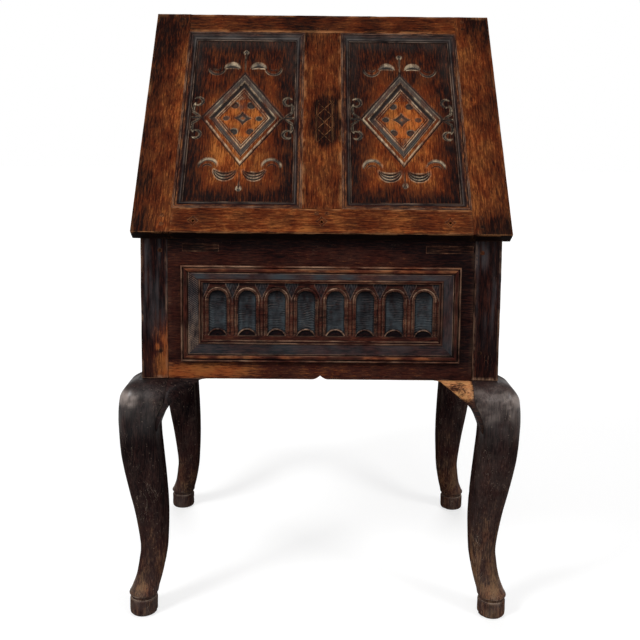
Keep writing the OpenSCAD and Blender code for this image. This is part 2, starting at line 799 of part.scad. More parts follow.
module lid_top_rail() {
  color([0.24, 0.12, 0.07]) on_lid() difference() {
    lid_rail(open_high, lid_len);
    rail_cuts();
    for (side = [-1, 1]) translate([side * hinge_x, 0, 0]) {
      leaf_recess(1);
      hinge_screw_row(1, screw_r + peg_gap, peg_gap);
    }
  }
}

module lid_bottom_rail() {
  worn_depth = 0.6;
  color([0.30, 0.16, 0.09]) on_lid() difference() {
    lid_rail(0, bottom_rail_w);
    rail_cuts();
    for (k = [-1 : 1]) translate([k * ledge_hole_x, ledge_hole_up, 0]) {
      translate([0, 0, lid_t - ledge_hole_deep]) cylinder(h = ledge_hole_deep + over, r = ledge_hole_r);
      translate([0, 0, lid_t - worn_depth]) cylinder(h = worn_depth + over, r = ledge_worn_r, $fn = 4);
    }
  }
}

module lid_muntin() {
  color([0.30, 0.16, 0.09]) on_lid() difference() {
    union() {
      block([-muntin_w / 2, open_low, 0], [muntin_w / 2, open_high, lid_t]);
      muntin_tenons(0);
    }
    for (side = [-1, 1]) panel_groove(side);
    lid_peg_set(peg_r + peg_gap, peg_gap);
  }
}

// Ring between two rhombuses, drawn round the origin
module lozenge_line(size, cut) {
  ratio = cut / (size[0] * size[1] / sqrt(size[0] * size[0] + size[1] * size[1])) * 2;
  difference() {
    rhombus(size);
    rhombus(size * (1 - ratio));
  }
}

module rhombus(size) {
  polygon([[size[0] / 2, 0], [0, size[1] / 2], [-size[0] / 2, 0], [0, -size[1] / 2]]);
}

module lid_panel(side) {
  grip = panel_tongue - fit_gap;
  middle = (open_in + open_out) / 2;
  outer = [lozenge_w, lozenge_h];
  inner = [lozenge_inner_w, lozenge_inner_h];
  color([0.42, 0.23, 0.11]) on_lid() flipped(side < 0, [1, 0, 0]) difference() {
    block([open_in - grip, open_low - grip, panel_back], [open_out + grip, open_high + grip, panel_face]);
    translate([middle, lozenge_up, panel_face - lozenge_depth]) linear_extrude(lozenge_depth + over) {
      for (share = [0, 0.5, 1]) lozenge_line(outer * (1 - share) + inner * share, lozenge_cut);
    }
  }
}

// Section of the panel moulding: outer arris, hollow, bead and thin inner line
bead_section = [[0, 0], [0, panel_drop], [3.2, panel_drop], [4.2, panel_drop - 1.4],
  [bead_w * 0.45, panel_drop - 2.4], [bead_w * 0.66, panel_drop - 4.2],
  [bead_w * 0.76, panel_drop - 4.4], [bead_w * 0.84, panel_drop - 5.4],
  [bead_w * 0.88, panel_drop - 6.4], [bead_w - 0.8, panel_drop - 6.4],
  [bead_w, panel_drop - 7], [bead_w, 0]];

module bead_strip(place, turn, length) {
  translate([place[0], place[1], panel_face]) rotate([0, 0, turn])
    mitred_strip(bead_section, length, bead_w, bead_w, bead_w);
}

module lid_moulding(side, edge) {
  high = open_high - open_low;
  wide = open_out - open_in;
  color([0.22, 0.14, 0.13]) on_lid() flipped(side < 0, [1, 0, 0]) {
    if (edge == "bottom") bead_strip([open_in, open_low], 0, wide);
    if (edge == "top") bead_strip([open_out, open_high], 180, wide);
    if (edge == "outer") bead_strip([open_out, open_low], 90, high);
    if (edge == "inner") bead_strip([open_in, open_high], -90, high);
  }
}

// ---------- hinges ----------

// The barrel lies on the plane of the slope, just clear of the lid's upper edge
barrel_up = lid_len + barrel_r + 0.3;
leaf_low = lid_len - leaf_w;
knuckle_l = hinge_l / knuckles;
knuckle_gap = 0.3;

module barrel(length, r) {
  translate([-length / 2, barrel_up, 0]) rotate([0, 90, 0]) cylinder(h = length, r = r);
}

// Pocket that takes a leaf flush: face 1 is under the lid, face -1 is on the top board
module leaf_recess(face) {
  deep = leaf_t + 2 * fit_gap;
  low = face > 0 ? -over : -deep;
  translate([-hinge_l / 2 - fit_gap, leaf_low - fit_gap, low])
    cube([hinge_l + 2 * fit_gap, leaf_w + 2 * fit_gap + barrel_r + over, deep + over]);
}

module hinge_screw_row(face, r, extra) {
  for (k = [-1 : 1])
    translate([k * (hinge_l / 2 - screw_edge), leaf_low + (k == 0 ? screw_mid_row : screw_row), 0])
      flipped(face < 0, [0, 0, 1]) hinge_screw(r, extra);
}

// Countersunk screw whose head is flush with the leaf, pointing along +Z
module hinge_screw(r, extra) {
  head = screw_head_r + (r - screw_r);
  translate([0, 0, fit_gap]) rotate_extrude()
    polygon([[0, 0], [head, 0], [r, leaf_t + 0.2], [r, screw_l + extra], [0, screw_l + extra]]);
}

// Knuckle number k, counted from the left
module knuckle(k, r, spare) {
  x = -hinge_l / 2 + k * knuckle_l;
  translate([x + knuckle_gap / 2 - spare, barrel_up, 0]) rotate([0, 90, 0])
    cylinder(h = knuckle_l - knuckle_gap + 2 * spare, r = r);
}

module hinge_leaf(face, first) {
  low = face > 0 ? fit_gap : -fit_gap - leaf_t;
  difference() {
    union() {
      difference() {
        translate([-hinge_l / 2, leaf_low, low]) cube([hinge_l, barrel_up - leaf_low, leaf_t]);
        for (k = [1 - first : 2 : knuckles - 1]) knuckle(k, barrel_r + knuckle_gap, knuckle_gap);
      }
      for (k = [first : 2 : knuckles - 1]) knuckle(k, barrel_r, 0);
    }
    barrel(hinge_l + 2 * over, pin_r + pin_gap);
    hinge_screw_row(face, screw_r + peg_gap, peg_gap);
  }
}

module hinge_case_leaf(side) {
  color([0.23, 0.22, 0.21]) on_lid() translate([side * hinge_x, 0, 0]) hinge_leaf(-1, 0);
}

module hinge_lid_leaf(side) {
  color([0.23, 0.22, 0.21]) on_lid() translate([side * hinge_x, 0, 0]) hinge_leaf(1, 1);
}

module hinge_pin(side) {
  color([0.30, 0.29, 0.28]) on_lid() translate([side * hinge_x, 0, 0])
    barrel(hinge_l - knuckle_gap, pin_r);
}

module hinge_screws(face) {
  color([0.30, 0.29, 0.28]) on_lid() for (side = [-1, 1])
    translate([side * hinge_x, 0, 0]) hinge_screw_row(face, screw_r, 0);
}

// ---------- what is drawn ----------

leg_at(-1, -1);  // leg_front_left
leg_at(1, -1);  // leg_front_right
leg_at(-1, 1);  // leg_rear_left
leg_at(1, 1);  // leg_rear_right
post(-1, -1);  // post_front_left
post(1, -1);  // post_front_right
post(-1, 1);  // post_rear_left
post(1, 1);  // post_rear_right
front_bracket(-1);  // front_bracket_left
front_bracket(1);  // front_bracket_right
side_bracket(-1, -1);  // side_bracket_front_left
side_bracket(1, -1);  // side_bracket_front_right
side_bracket(-1, 1);  // side_bracket_rear_left
side_bracket(1, 1);  // side_bracket_rear_right
front_board();
carved_front_panel();
front_moulding_top();
front_moulding_bottom();
front_moulding_left();
front_moulding_right();
patch(-1);  // patch_left
patch(1);  // patch_right
side_lower(-1);  // side_lower_left
side_lower(1);  // side_lower_right
side_upper(-1);  // side_upper_left
side_upper(1);  // side_upper_right
back_board(0);  // back_board_lower
back_board(1);  // back_board_middle
back_board(2);  // back_board_upper
bottom_board();
bottom_ledger(-1);  // bottom_ledger_front
bottom_ledger(1);  // bottom_ledger_rear
top_board();
case_pegs();
lid_stile(-1);  // lid_stile_left
lid_stile(1);  // lid_stile_right
lid_top_rail();
lid_bottom_rail();
lid_muntin();
lid_panel(-1);  // lid_panel_left
lid_panel(1);  // lid_panel_right
lid_moulding(-1, "top");  // lid_moulding_left_top
lid_moulding(-1, "bottom");  // lid_moulding_left_bottom
lid_moulding(-1, "outer");  // lid_moulding_left_outer
lid_moulding(-1, "inner");  // lid_moulding_left_inner
lid_moulding(1, "top");  // lid_moulding_right_top
lid_moulding(1, "bottom");  // lid_moulding_right_bottom
lid_moulding(1, "outer");  // lid_moulding_right_outer
lid_moulding(1, "inner");  // lid_moulding_right_inner
lid_pegs();
hinge_case_leaf(-1);  // hinge_left_case_leaf
hinge_case_leaf(1);  // hinge_right_case_leaf
hinge_lid_leaf(-1);  // hinge_left_lid_leaf
hinge_lid_leaf(1);  // hinge_right_lid_leaf
hinge_pin(-1);  // hinge_pin_left
hinge_pin(1);  // hinge_pin_right
hinge_screws(-1);  // hinge_screws_case
hinge_screws(1);  // hinge_screws_lid
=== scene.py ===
"""Finish and carving of an oak desk box on four cabriole legs, built round its fixed frame.

Pieces are worked out in millimetres, in one of three settings: the case (x right, y back, z up),
the front (x right, y up, z out of the front) and the lid (x right, y up the slope, z out of it).
"""

import json
import math
import zlib

import bpy
import numpy as np
from mathutils import Matrix, Vector


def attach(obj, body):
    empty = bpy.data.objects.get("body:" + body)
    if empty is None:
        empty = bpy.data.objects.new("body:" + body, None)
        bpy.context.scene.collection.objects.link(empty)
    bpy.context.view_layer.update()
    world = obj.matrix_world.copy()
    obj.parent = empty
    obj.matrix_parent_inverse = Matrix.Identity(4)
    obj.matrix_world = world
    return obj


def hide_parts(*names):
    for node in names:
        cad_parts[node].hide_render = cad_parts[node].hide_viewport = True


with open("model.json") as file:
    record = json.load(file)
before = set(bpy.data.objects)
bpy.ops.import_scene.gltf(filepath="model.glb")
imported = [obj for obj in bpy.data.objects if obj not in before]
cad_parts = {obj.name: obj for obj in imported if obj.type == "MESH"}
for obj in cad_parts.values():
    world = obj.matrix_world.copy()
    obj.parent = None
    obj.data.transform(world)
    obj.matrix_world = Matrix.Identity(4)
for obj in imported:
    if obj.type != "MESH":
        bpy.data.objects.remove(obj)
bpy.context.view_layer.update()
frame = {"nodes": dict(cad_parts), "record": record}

MM = 0.001
SIDES = {"left": -1, "right": 1}
ENDS = {"front": -1, "rear": 1}

# Roundings of arrises: in a joint, beside a joint and on the outside
JOINT_R = 0.5
INNER_R = 1.1
OUTER_R = 1.7


# ---------- places taken from the frame ----------

def node_points(node):
    """Corner points of a node of the frame, in millimetres."""
    vertices = frame["nodes"][node].data.vertices
    flat = np.empty(len(vertices) * 3, np.float32)
    vertices.foreach_get("co", flat)
    return flat.reshape(-1, 3).astype(float) / MM


def find_slope():
    """Axes of the lid (across, up the slope, out of it) and the foot of its underside."""
    hole = next(m for m in frame["record"]["mounts"] if m["name"] == "ledge_hole_middle")
    out = np.array(hole["axis"], float)
    out /= np.linalg.norm(out)
    axes = np.array([[1.0, 0.0, 0.0], [0.0, out[2], -out[1]], out])
    foot = (node_points("lid_stile_left") @ axes.T).min(0)
    foot[0] = 0.0
    return axes, axes.T @ foot


LID_AXES, LID_FOOT = find_slope()


def in_case(points):
    """The case's own setting, which is the frame's in millimetres."""
    return points


def on_lid(points):
    """From the lid's setting to the case's."""
    return points @ LID_AXES + LID_FOOT


def to_lid(points):
    """From the case's setting to the lid's."""
    return (points - LID_FOOT) @ LID_AXES.T


def on_front(points):
    """From the front's setting to the case's."""
    return np.stack([points[:, 0], -points[:, 2], points[:, 1]], 1)


def to_front(points):
    """From the case's setting to the front's."""
    return np.stack([points[:, 0], points[:, 2], -points[:, 1]], 1)


def corners(node, setting=in_case):
    """Lowest and highest corner of a node, in one of the three settings."""
    points = setting(node_points(node))
    return points.min(0), points.max(0)


def slope_height(y):
    """Height of the lid's underside over a depth in the case."""
    return LID_FOOT[2] + (y - LID_FOOT[1]) * LID_AXES[1, 2] / LID_AXES[1, 1]


def slope_depth(z):
    """Depth in the case at which the lid's underside has a given height."""
    return LID_FOOT[1] + (z - LID_FOOT[2]) * LID_AXES[1, 1] / LID_AXES[1, 2]


def separate_solids(node, setting=in_case):
    """Lowest and highest corners of each separate solid of a node, in one of the three settings."""
    points = node_points(node)
    edges = np.array([edge.vertices[:] for edge in frame["nodes"][node].data.edges])
    same = np.unique(np.round(points, 2), axis=0, return_inverse=True)[1].ravel()
    label = np.arange(len(points))
    while True:
        lowest = np.full(same.max() + 1, len(points))
        np.minimum.at(lowest, same, label)
        grown = lowest[same]
        for a, b in ((0, 1), (1, 0)):
            np.minimum.at(grown, edges[:, a], grown[edges[:, b]])
        if (grown == label).all():
            break
        label = grown
    placed = setting(points)
    return [(placed[label == k].min(0), placed[label == k].max(0)) for k in np.unique(label)]


# ---------- sizes ----------

# Lid: its opening for the panels, its rails' and stiles' reach, its panel moulding and panels
BOTTOM_RAIL_HIGH = corners("lid_bottom_rail", to_lid)[1]
TOP_RAIL_LOW = corners("lid_top_rail", to_lid)[0]
STILE_LOW, STILE_HIGH = corners("lid_stile_right", to_lid)
BEAD_LOW, BEAD_HIGH = corners("lid_moulding_right_inner", to_lid)
OPEN_IN = BEAD_LOW[0]
OPEN_OUT = STILE_LOW[0]
OPEN_LOW = BOTTOM_RAIL_HIGH[1]
OPEN_HIGH = TOP_RAIL_LOW[1]
LID_LENGTH = STILE_HIGH[1]
LID_THICK = STILE_HIGH[2]
BEAD_WIDTH = BEAD_HIGH[0] - BEAD_LOW[0]
PANEL_FACE = corners("lid_panel_right", to_lid)[1][2]

# Holes of the book ledge, with lines close together over the worn dish round each
LEDGE_HOLES = [to_lid(np.array([m["pos_m"]]) / MM)[0] for m in frame["record"]["mounts"]
               if m["name"].startswith("ledge_hole")]
LEDGE_HOLE_R = 2.75
LEDGE_HOLE_DEEP = 12.0
DISH_LINES = 10.5

# Recesses for the hinges' leaves and barrels
HINGE_LOW, HINGE_HIGH = corners("hinge_right_lid_leaf", to_lid)
HINGE_DEEP = 1.9
HINGE_PLAY = 0.2
HINGE_INNER = HINGE_LOW[0] - HINGE_PLAY
HINGE_OUTER = HINGE_HIGH[0] + HINGE_PLAY
HINGE_ENDS = [-HINGE_INNER, -HINGE_OUTER, HINGE_INNER, HINGE_OUTER]
BARREL_REACH = 7.5
BARREL_DEEP = 2.2

# Lattice on the muntin
LATTICE_X = 4.0
LATTICE_ACROSS = (-14, 25)
LATTICE_UP = (186, 294)
LATTICE_STEP = 0.9

# Posts: their edges, the room left under the lid, from where they are cut to the slope, rubbed ends
(INNER_X, INNER_Y, LEG_TOP), (OUTER_X, OUTER_Y, _) = corners("post_rear_right")
POST_W = OUTER_X - INNER_X
SLOPE_SEAT = 0.25
SLOPE_CUT_FROM = 600.0
RUBBED_FOOT = 2.5

# Legs: reach beyond the post or drop from its foot, heights from the floor, and radii
SHOULDER_OUT = 6.0
KNEE_OUT = 40.0
KNEE_DROP = 67.0
KNEE_HOLLOW = 16.0
ANKLE_OUT = 8.0
ANKLE_H = 125.0
ANKLE_W = 49.0
TOE_H = 39.0
TOE_R = 26.5
PAD_H = 31.0
PAD_R = 25.5

# Knee brackets, the room beside them, and the one that is torn
EAR_LENGTH = 68.0
EAR_HEIGHT = 93.0
EAR_THICK = 20.0
JOINT_GAP = 0.15
TORN_BRACKET = "front_bracket_right"

# Tone of the legs, and how much painted sheen and dust they carry, on each side
LEG_LEVEL = {"left": 0.13, "right": 0.26}
LEG_SHEEN_AND_DUST = {"left": 0.08, "right": 0.38}


# ---------- noise and smooth steps ----------

def cell_value(cell, seed):
    """A repeatable value from -1 to 1 for each whole-number cell."""
    mixed = cell[:, 0] * 73856093 ^ cell[:, 1] * 19349663 ^ cell[:, 2] * 83492791 ^ seed * 2654435
    mixed = (mixed ^ mixed >> 15) * 2246822519
    mixed = (mixed ^ mixed >> 13) * 3266489917
    return ((mixed ^ mixed >> 16) & 0xFFFF) / 32767.5 - 1.0


def noise(points, size, seed=0):
    """Smooth noise from -1 to 1 with bumps about `size` millimetres across, one size or one per axis.

    Each effect has a seed of its own, so that no two of them run alike.
    """
    place = points / size
    cell = np.floor(place).astype(np.int64)
    part = place - cell
    part = part * part * (3 - 2 * part)
    total = np.zeros(len(points))
    for corner in range(8):
        step = np.array([corner & 1, corner >> 1 & 1, corner >> 2])
        total += np.abs(1 - step - part).prod(1) * cell_value(cell + step, seed)
    return total


def smooth(value, low, high):
    """0 below `low`, 1 above `high`, with a soft rise between them."""
    share = np.clip((value - low) / (high - low), 0, 1)
    return share * share * (3 - 2 * share)


def hump(value, centre, half):
    """1 at `centre`, falling softly to 0 at `half` on both sides."""
    return 1 - smooth(np.abs(value - centre), 0, half)


def between(value, start, end):
    """1 between two soft edges, each given as the values where it starts and ends."""
    return smooth(value, *start) * (1 - smooth(value, *end))


def on_face(x, y):
    """Points of a flat face, as noise takes them."""
    return np.stack([x, y, np.zeros(len(x))], 1)


def mottle(points, level, broad, fine, seed):
    """A level broken up by a broad and a fine noise, each given as its strength and its size."""
    return level + broad[0] * noise(points, broad[1], seed) + fine[0] * noise(points, fine[1], seed + 1)


# ---------- meshes ----------

SHARP_ANGLE = math.radians(40)
PLAIN_TONE = 0.5
PLAIN_SHINE = 0.04

# Bend of the surface, per millimetre, from which a hollow and an arris start to show and fully show
HOLLOW_BEND = (0.03, 0.30)
ARRIS_BEND = (0.07, 0.42)

# Lines over a rounded arris, in shares of its radius, and those round a pit, in radii of the pit
ARRIS_LINES = np.array([0.0, 0.42, 0.73, 1.0])
PIT_LINES = np.array([-2.2, -1.6, -1.25, -1.0, -0.9, -0.45, 0, 0.45, 0.9, 1.0, 1.25, 1.6, 2.2])
PIT_REACH = 2.2

# How far from a joint, and how much, an arris stays unrubbed
JOINT_REACH = 1.5
JOINT_CALM = 0.9

# Spacing of a moulding's points round its section and along it, plain and with tool marks
SECTION_STEP = 1.3
PLAIN_STEP = 4.0
MARKED_STEP = 1.0
TOOL_MARK_STEP = 3.7


def curvature(points, quads):
    """Bend of the surface at each point, per millimetre: positive on arrises, negative in hollows."""
    a, b, c, d = points[quads].transpose(1, 0, 2)
    face_out = np.cross(c - a, d - b)
    count = len(points)
    out = np.zeros((count, 3))
    for k in range(4):
        for axis in range(3):
            out[:, axis] += np.bincount(quads[:, k], face_out[:, axis], count)
    out /= np.maximum(np.linalg.norm(out, axis=1, keepdims=True), 1e-9)
    bend = np.zeros(count)
    uses = np.zeros(count)
    for k in range(4):
        start, end = quads[:, k], quads[:, (k + 1) % 4]
        step = points[start] - points[end]
        each = 2 * (out[start] * step).sum(1) / np.maximum((step * step).sum(1), 0.05)
        bend += np.bincount(start, each, count)
        uses += np.bincount(start, minlength=count)
    return bend / np.maximum(uses, 1)


def signed_volume(points, quads):
    """Six times the volume that the quads close in, above 0 where they face outward."""
    a, b, c, d = points[quads].transpose(1, 0, 2)
    return (np.cross(a, b) * c).sum() + (np.cross(a, c) * d).sum()


def make_piece(name, points, quads, rings=(), place=in_case, along=2, tone=None, hollow=None, quiet=None,
               bloom_and_sheen=None, shine=None, bare=None):
    """Closed mesh with the marks that its finish reads: grain place, wear with painted highlights, hollow
    dirt with painted shade, grey bloom with painted sheen, shine, tone.

    `quiet` is 1 where an arris stays unrubbed and below 0 where it is rubbed most, `bare` is 1
    where a face is rubbed pale or carries a painted highlight.
    """
    placed = place(points)
    middle = placed.mean(0)
    if signed_volume(placed - middle, quads) < 0:
        quads = quads[:, ::-1]
        rings = [ring[::-1] for ring in rings]
    mesh = bpy.data.meshes.new(name)
    mesh.vertices.add(len(points))
    mesh.vertices.foreach_set("co", (placed * MM).astype(np.float32).ravel())
    loops = np.concatenate([quads.ravel(), *rings]).astype(np.int32)
    sizes = np.array([4] * len(quads) + [len(ring) for ring in rings])
    mesh.loops.add(len(loops))
    mesh.loops.foreach_set("vertex_index", loops)
    mesh.polygons.add(len(sizes))
    mesh.polygons.foreach_set("loop_start", np.concatenate([[0], np.cumsum(sizes)[:-1]]).astype(np.int32))
    mesh.polygons.foreach_set("use_smooth", np.ones(len(sizes), bool))
    mesh.update(calc_edges=True)
    mesh.set_sharp_from_angle(angle=SHARP_ANGLE)

    bend = curvature(placed, quads)
    dirt_and_shade = smooth(-bend, *HOLLOW_BEND)
    # the given hollow mark holds painted shade as well as dirt
    if hollow is not None:
        dirt_and_shade = np.maximum(dirt_and_shade, hollow)
    worn = smooth(bend, *ARRIS_BEND)
    if quiet is not None:
        worn = worn * (1 - quiet)
    if bare is not None:
        # the given pale places hold painted highlights as well as wear
        worn = np.maximum(worn, bare)
    if callable(bloom_and_sheen):
        bloom_and_sheen = bloom_and_sheen(points)
    marks = {"worn": worn, "hollow": dirt_and_shade,
             "bloom_and_sheen": np.zeros(len(points)) if bloom_and_sheen is None else np.clip(bloom_and_sheen, 0, 1),
             "shine": np.full(len(points), PLAIN_SHINE) if shine is None else np.clip(shine(points), 0, 1),
             "tone": np.full(len(points), PLAIN_TONE) if tone is None else np.clip(tone(points), 0, 1)}
    for label, values in marks.items():
        layer = mesh.attributes.new(label, "FLOAT", "POINT")
        layer.data.foreach_set("value", values.astype(np.float32))

    # the grain place runs along the board first, and starts somewhere else on each piece
    order = [along] + [k for k in range(3) if k != along]
    shift = np.array([zlib.crc32((name + part).encode()) % 997 for part in "abc"], float)
    grain = (points[:, order] + shift) * MM
    layer = mesh.attributes.new("grain", "FLOAT_VECTOR", "POINT")
    layer.data.foreach_set("vector", grain.astype(np.float32).ravel())
    piece = bpy.data.objects.new(name, mesh)
    bpy.context.scene.collection.objects.link(piece)
    return piece


def fit(piece, material, body, node=None):
    """Gives a piece its finish, its body and the node that it stands for.

    Where no node is named, it is the one that the piece has its name from.
    """
    piece.data.materials.append(material)
    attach(piece, body)
    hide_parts(node or piece.name.removesuffix("_wood"))


def ruler(low, high, step, radii=(0.0, 0.0), marks=()):
    """Rows of lines between two edges, closer together at the rounded edges and at the marks."""
    inner = (low + radii[0], high - radii[1])
    count = max(1, round((inner[1] - inner[0]) / step))
    even = np.linspace(*inner, count + 1)
    marks = np.array([m for m in marks if low < m < high])
    if len(marks):
        even = even[np.abs(even[:, None] - marks).min(1) > 0.3 * step]
    rows = np.concatenate([low + ARRIS_LINES * radii[0], high - ARRIS_LINES * radii[1], even, marks, inner])
    rows = np.unique(np.round(rows, 3))
    return rows[np.concatenate([[True], np.diff(rows) > 0.02])]


def block_mesh(lines, keep=None):
    """Points and outward quads of a block on three rows of lines, without the cells refused by `keep`."""
    mids = [0.5 * (row[1:] + row[:-1]) for row in lines]
    solid = np.ones([len(row) for row in mids], bool)
    if keep is not None:
        solid &= keep(*np.meshgrid(*mids, indexing="ij"))
    padded = np.pad(solid, 1)
    rings = []
    for axis in range(3):
        step_a, step_b = np.eye(3, dtype=int)[[(axis + 1) % 3, (axis + 2) % 3]]
        for side in (0, 1):
            bare = padded & ~np.roll(padded, 1 - 2 * side, axis)
            base = np.argwhere(bare) - 1
            base[:, axis] += side
            ring = [base, base + step_a, base + step_a + step_b, base + step_b]
            if side == 0:
                ring.reverse()
            rings.append(np.stack(ring, 1))
    cells = np.concatenate(rings).reshape(-1, 3)
    counts = [len(row) for row in lines]
    keys = (cells[:, 0] * counts[1] + cells[:, 1]) * counts[2] + cells[:, 2]
    used, quads = np.unique(keys, return_inverse=True)
    index = np.stack([used // (counts[1] * counts[2]), used // counts[2] % counts[1], used % counts[2]])
    points = np.stack([lines[k][index[k]] for k in range(3)], 1)
    return points, quads.reshape(-1, 4)


def sink_pits(points, low, high, pits):
    """Presses round pits into the faces and draws the lines round each into circles."""
    moved = points.copy()
    for axis, side, centre, radius, depth in pits:
        flat = [k for k in range(3) if k != axis]
        level = high[axis] if side > 0 else low[axis]
        near = np.abs(points[:, axis] - level) < 0.01
        offset = points[:, flat] - centre
        square = np.abs(offset).max(1)
        near &= square < PIT_REACH * radius
        offset, square = offset[near], square[near]
        share = np.clip((PIT_REACH - square / radius) / (PIT_REACH - 1), 0, 1)[:, None]
        circle = offset * (square / np.maximum(np.hypot(*offset.T), 1e-6))[:, None]
        rows = np.flatnonzero(near)
        moved[rows[:, None], flat] = centre + offset + (circle - offset) * share
        moved[rows, axis] -= side * depth * (1 - smooth(square / radius, 0.9, 1.0))
    return moved


def worn_block(points, low, high, radii, wear, seed):
    """Rounds the arrises unevenly and lets the faces sink in slow waves, never outward."""
    chips = mottle(points, 1, (0.55, 23), (0.35, 7), seed)[:, None]
    inner = np.clip(points, low + radii[0] * chips, high - radii[1] * chips)
    step = points - inner
    room = np.where(step < 0, radii[0] * chips, radii[1] * chips)
    reach = np.linalg.norm(step / np.maximum(room, 1e-6), axis=1)
    skin = reach > 0.98
    rounded = inner + step / np.maximum(reach, 1)[:, None]
    out = step / np.maximum(np.linalg.norm(step, axis=1), 1e-6)[:, None]
    sink = wear * mottle(points, 0.5, (0.3, 55), (0.2, 15), seed + 2)
    return rounded - out * (sink * skin)[:, None]


def board(name, low, high, along, place=in_case, radius=1.2, step=6.0, marks=((), (), ()), keep=None,
          pits=(), shape=None, carve=None, wear=0.3, tone=None, bloom_and_sheen=None, hollow=None, calm=0.0):
    """A worn board. `radius` is one value or one row for the low and one for the high sides.

    `calm` is how far the arrises stay unrubbed, for the whole board or worked out for each point.
    """
    low, high = np.array(low, float), np.array(high, float)
    radii = np.broadcast_to(np.array(radius, float), (2, 3)) if np.ndim(radius) == 0 else np.array(radius)
    seed = zlib.crc32(name.encode()) % 1000
    rows = [list(marks[k]) for k in range(3)]
    for axis, _, centre, pit_radius, _ in pits:
        for value, k in zip(centre, [k for k in range(3) if k != axis]):
            rows[k] += list(value + PIT_LINES * pit_radius)
    steps = [step] * 3
    steps[along] = step * 1.5
    lines = [ruler(low[k], high[k], steps[k], radii[:, k], rows[k]) for k in range(3)]
    points, quads = block_mesh(lines, keep)
    points = sink_pits(points, low, high, pits)
    base = points.copy()
    points = worn_block(points, low, high, radii, wear, seed)
    if carve is not None:
        face = base[:, 2] > high[2] - 0.01
        points[face, 2] += carve(points[face, 0], points[face, 1])
    quiet = calm(base) if callable(calm) else np.full(len(points), calm)
    for side, face in enumerate((low, high)):
        for axis in range(3):
            if radii[side, axis] <= JOINT_R:
                quiet[np.abs(base[:, axis] - face[axis]) < JOINT_REACH] = JOINT_CALM
    if shape is not None:
        points = shape(points)
    dirt_and_shade = None if hollow is None else hollow(base)
    return make_piece(name, points, quads, place=place, along=along, tone=tone, hollow=dirt_and_shade, quiet=quiet,
                      bloom_and_sheen=bloom_and_sheen)


def relief_board(name, low, high, along, height, place, step, tone, hollow, bloom_and_sheen, bare=None):
    """A board whose face (towards +z) is carved by `height(x, y)`; its back is one flat face.

    With `bare`, the places that are rubbed pale or carry painted highlights are given by it alone.
    """
    across = ruler(low[0], high[0], step)
    up = ruler(low[1], high[1], step)
    x, y = np.meshgrid(across, up, indexing="ij")
    cut = height(x.ravel(), y.ravel())
    face = np.stack([x.ravel(), y.ravel(), high[2] + cut], 1)
    index = np.arange(len(face)).reshape(x.shape)
    quads = np.stack([index[:-1, :-1], index[1:, :-1], index[1:, 1:], index[:-1, 1:]], -1).reshape(-1, 4)
    rim = np.concatenate([index[:-1, 0], index[-1, :-1], index[:0:-1, -1], index[0, :0:-1]])
    back = face[rim].copy()
    back[:, 2] = low[2]
    under = len(face) + np.arange(len(rim))
    walls = np.stack([rim, under, np.roll(under, -1), np.roll(rim, -1)], 1)
    points = np.concatenate([face, back])
    none = np.zeros(len(rim))
    depth = np.concatenate([hollow(x.ravel(), y.ravel(), cut), none])
    dull = np.concatenate([bloom_and_sheen(x.ravel(), y.ravel(), cut), none])
    quads = np.concatenate([quads, walls])
    quiet = 1.5 * depth - 0.35
    pale = None
    if bare is not None:
        quiet = np.full(len(points), 0.8)
        pale = np.concatenate([bare(x.ravel(), y.ravel(), cut), none])
    return make_piece(name, points, quads, [under[::-1]], place, along, tone, depth, quiet, dull, bare=pale)


def loft_mesh(rings):
    """Points, quads and end faces of a skin through rings that have the same count of points."""
    rings = np.array(rings)
    count, around = rings.shape[:2]
    index = np.arange(count * around).reshape(count, around)
    after = np.roll(index, -1, axis=1)
    quads = np.stack([index[:-1], after[:-1], after[1:], index[1:]], -1).reshape(-1, 4)
    return rings.reshape(-1, 3), quads, [index[0, ::-1], index[-1]]


def finer(outline, spacing):
    """An open outline with points added so that none are further apart than `spacing`."""
    outline = np.array(outline, float)
    parts = [outline[:1]]
    for start, end in zip(outline[:-1], outline[1:]):
        count = max(1, math.ceil(np.linalg.norm(end - start) / spacing))
        shares = np.arange(1, count + 1)[:, None] / count
        parts.append(start + (end - start) * shares)
    return np.concatenate(parts)


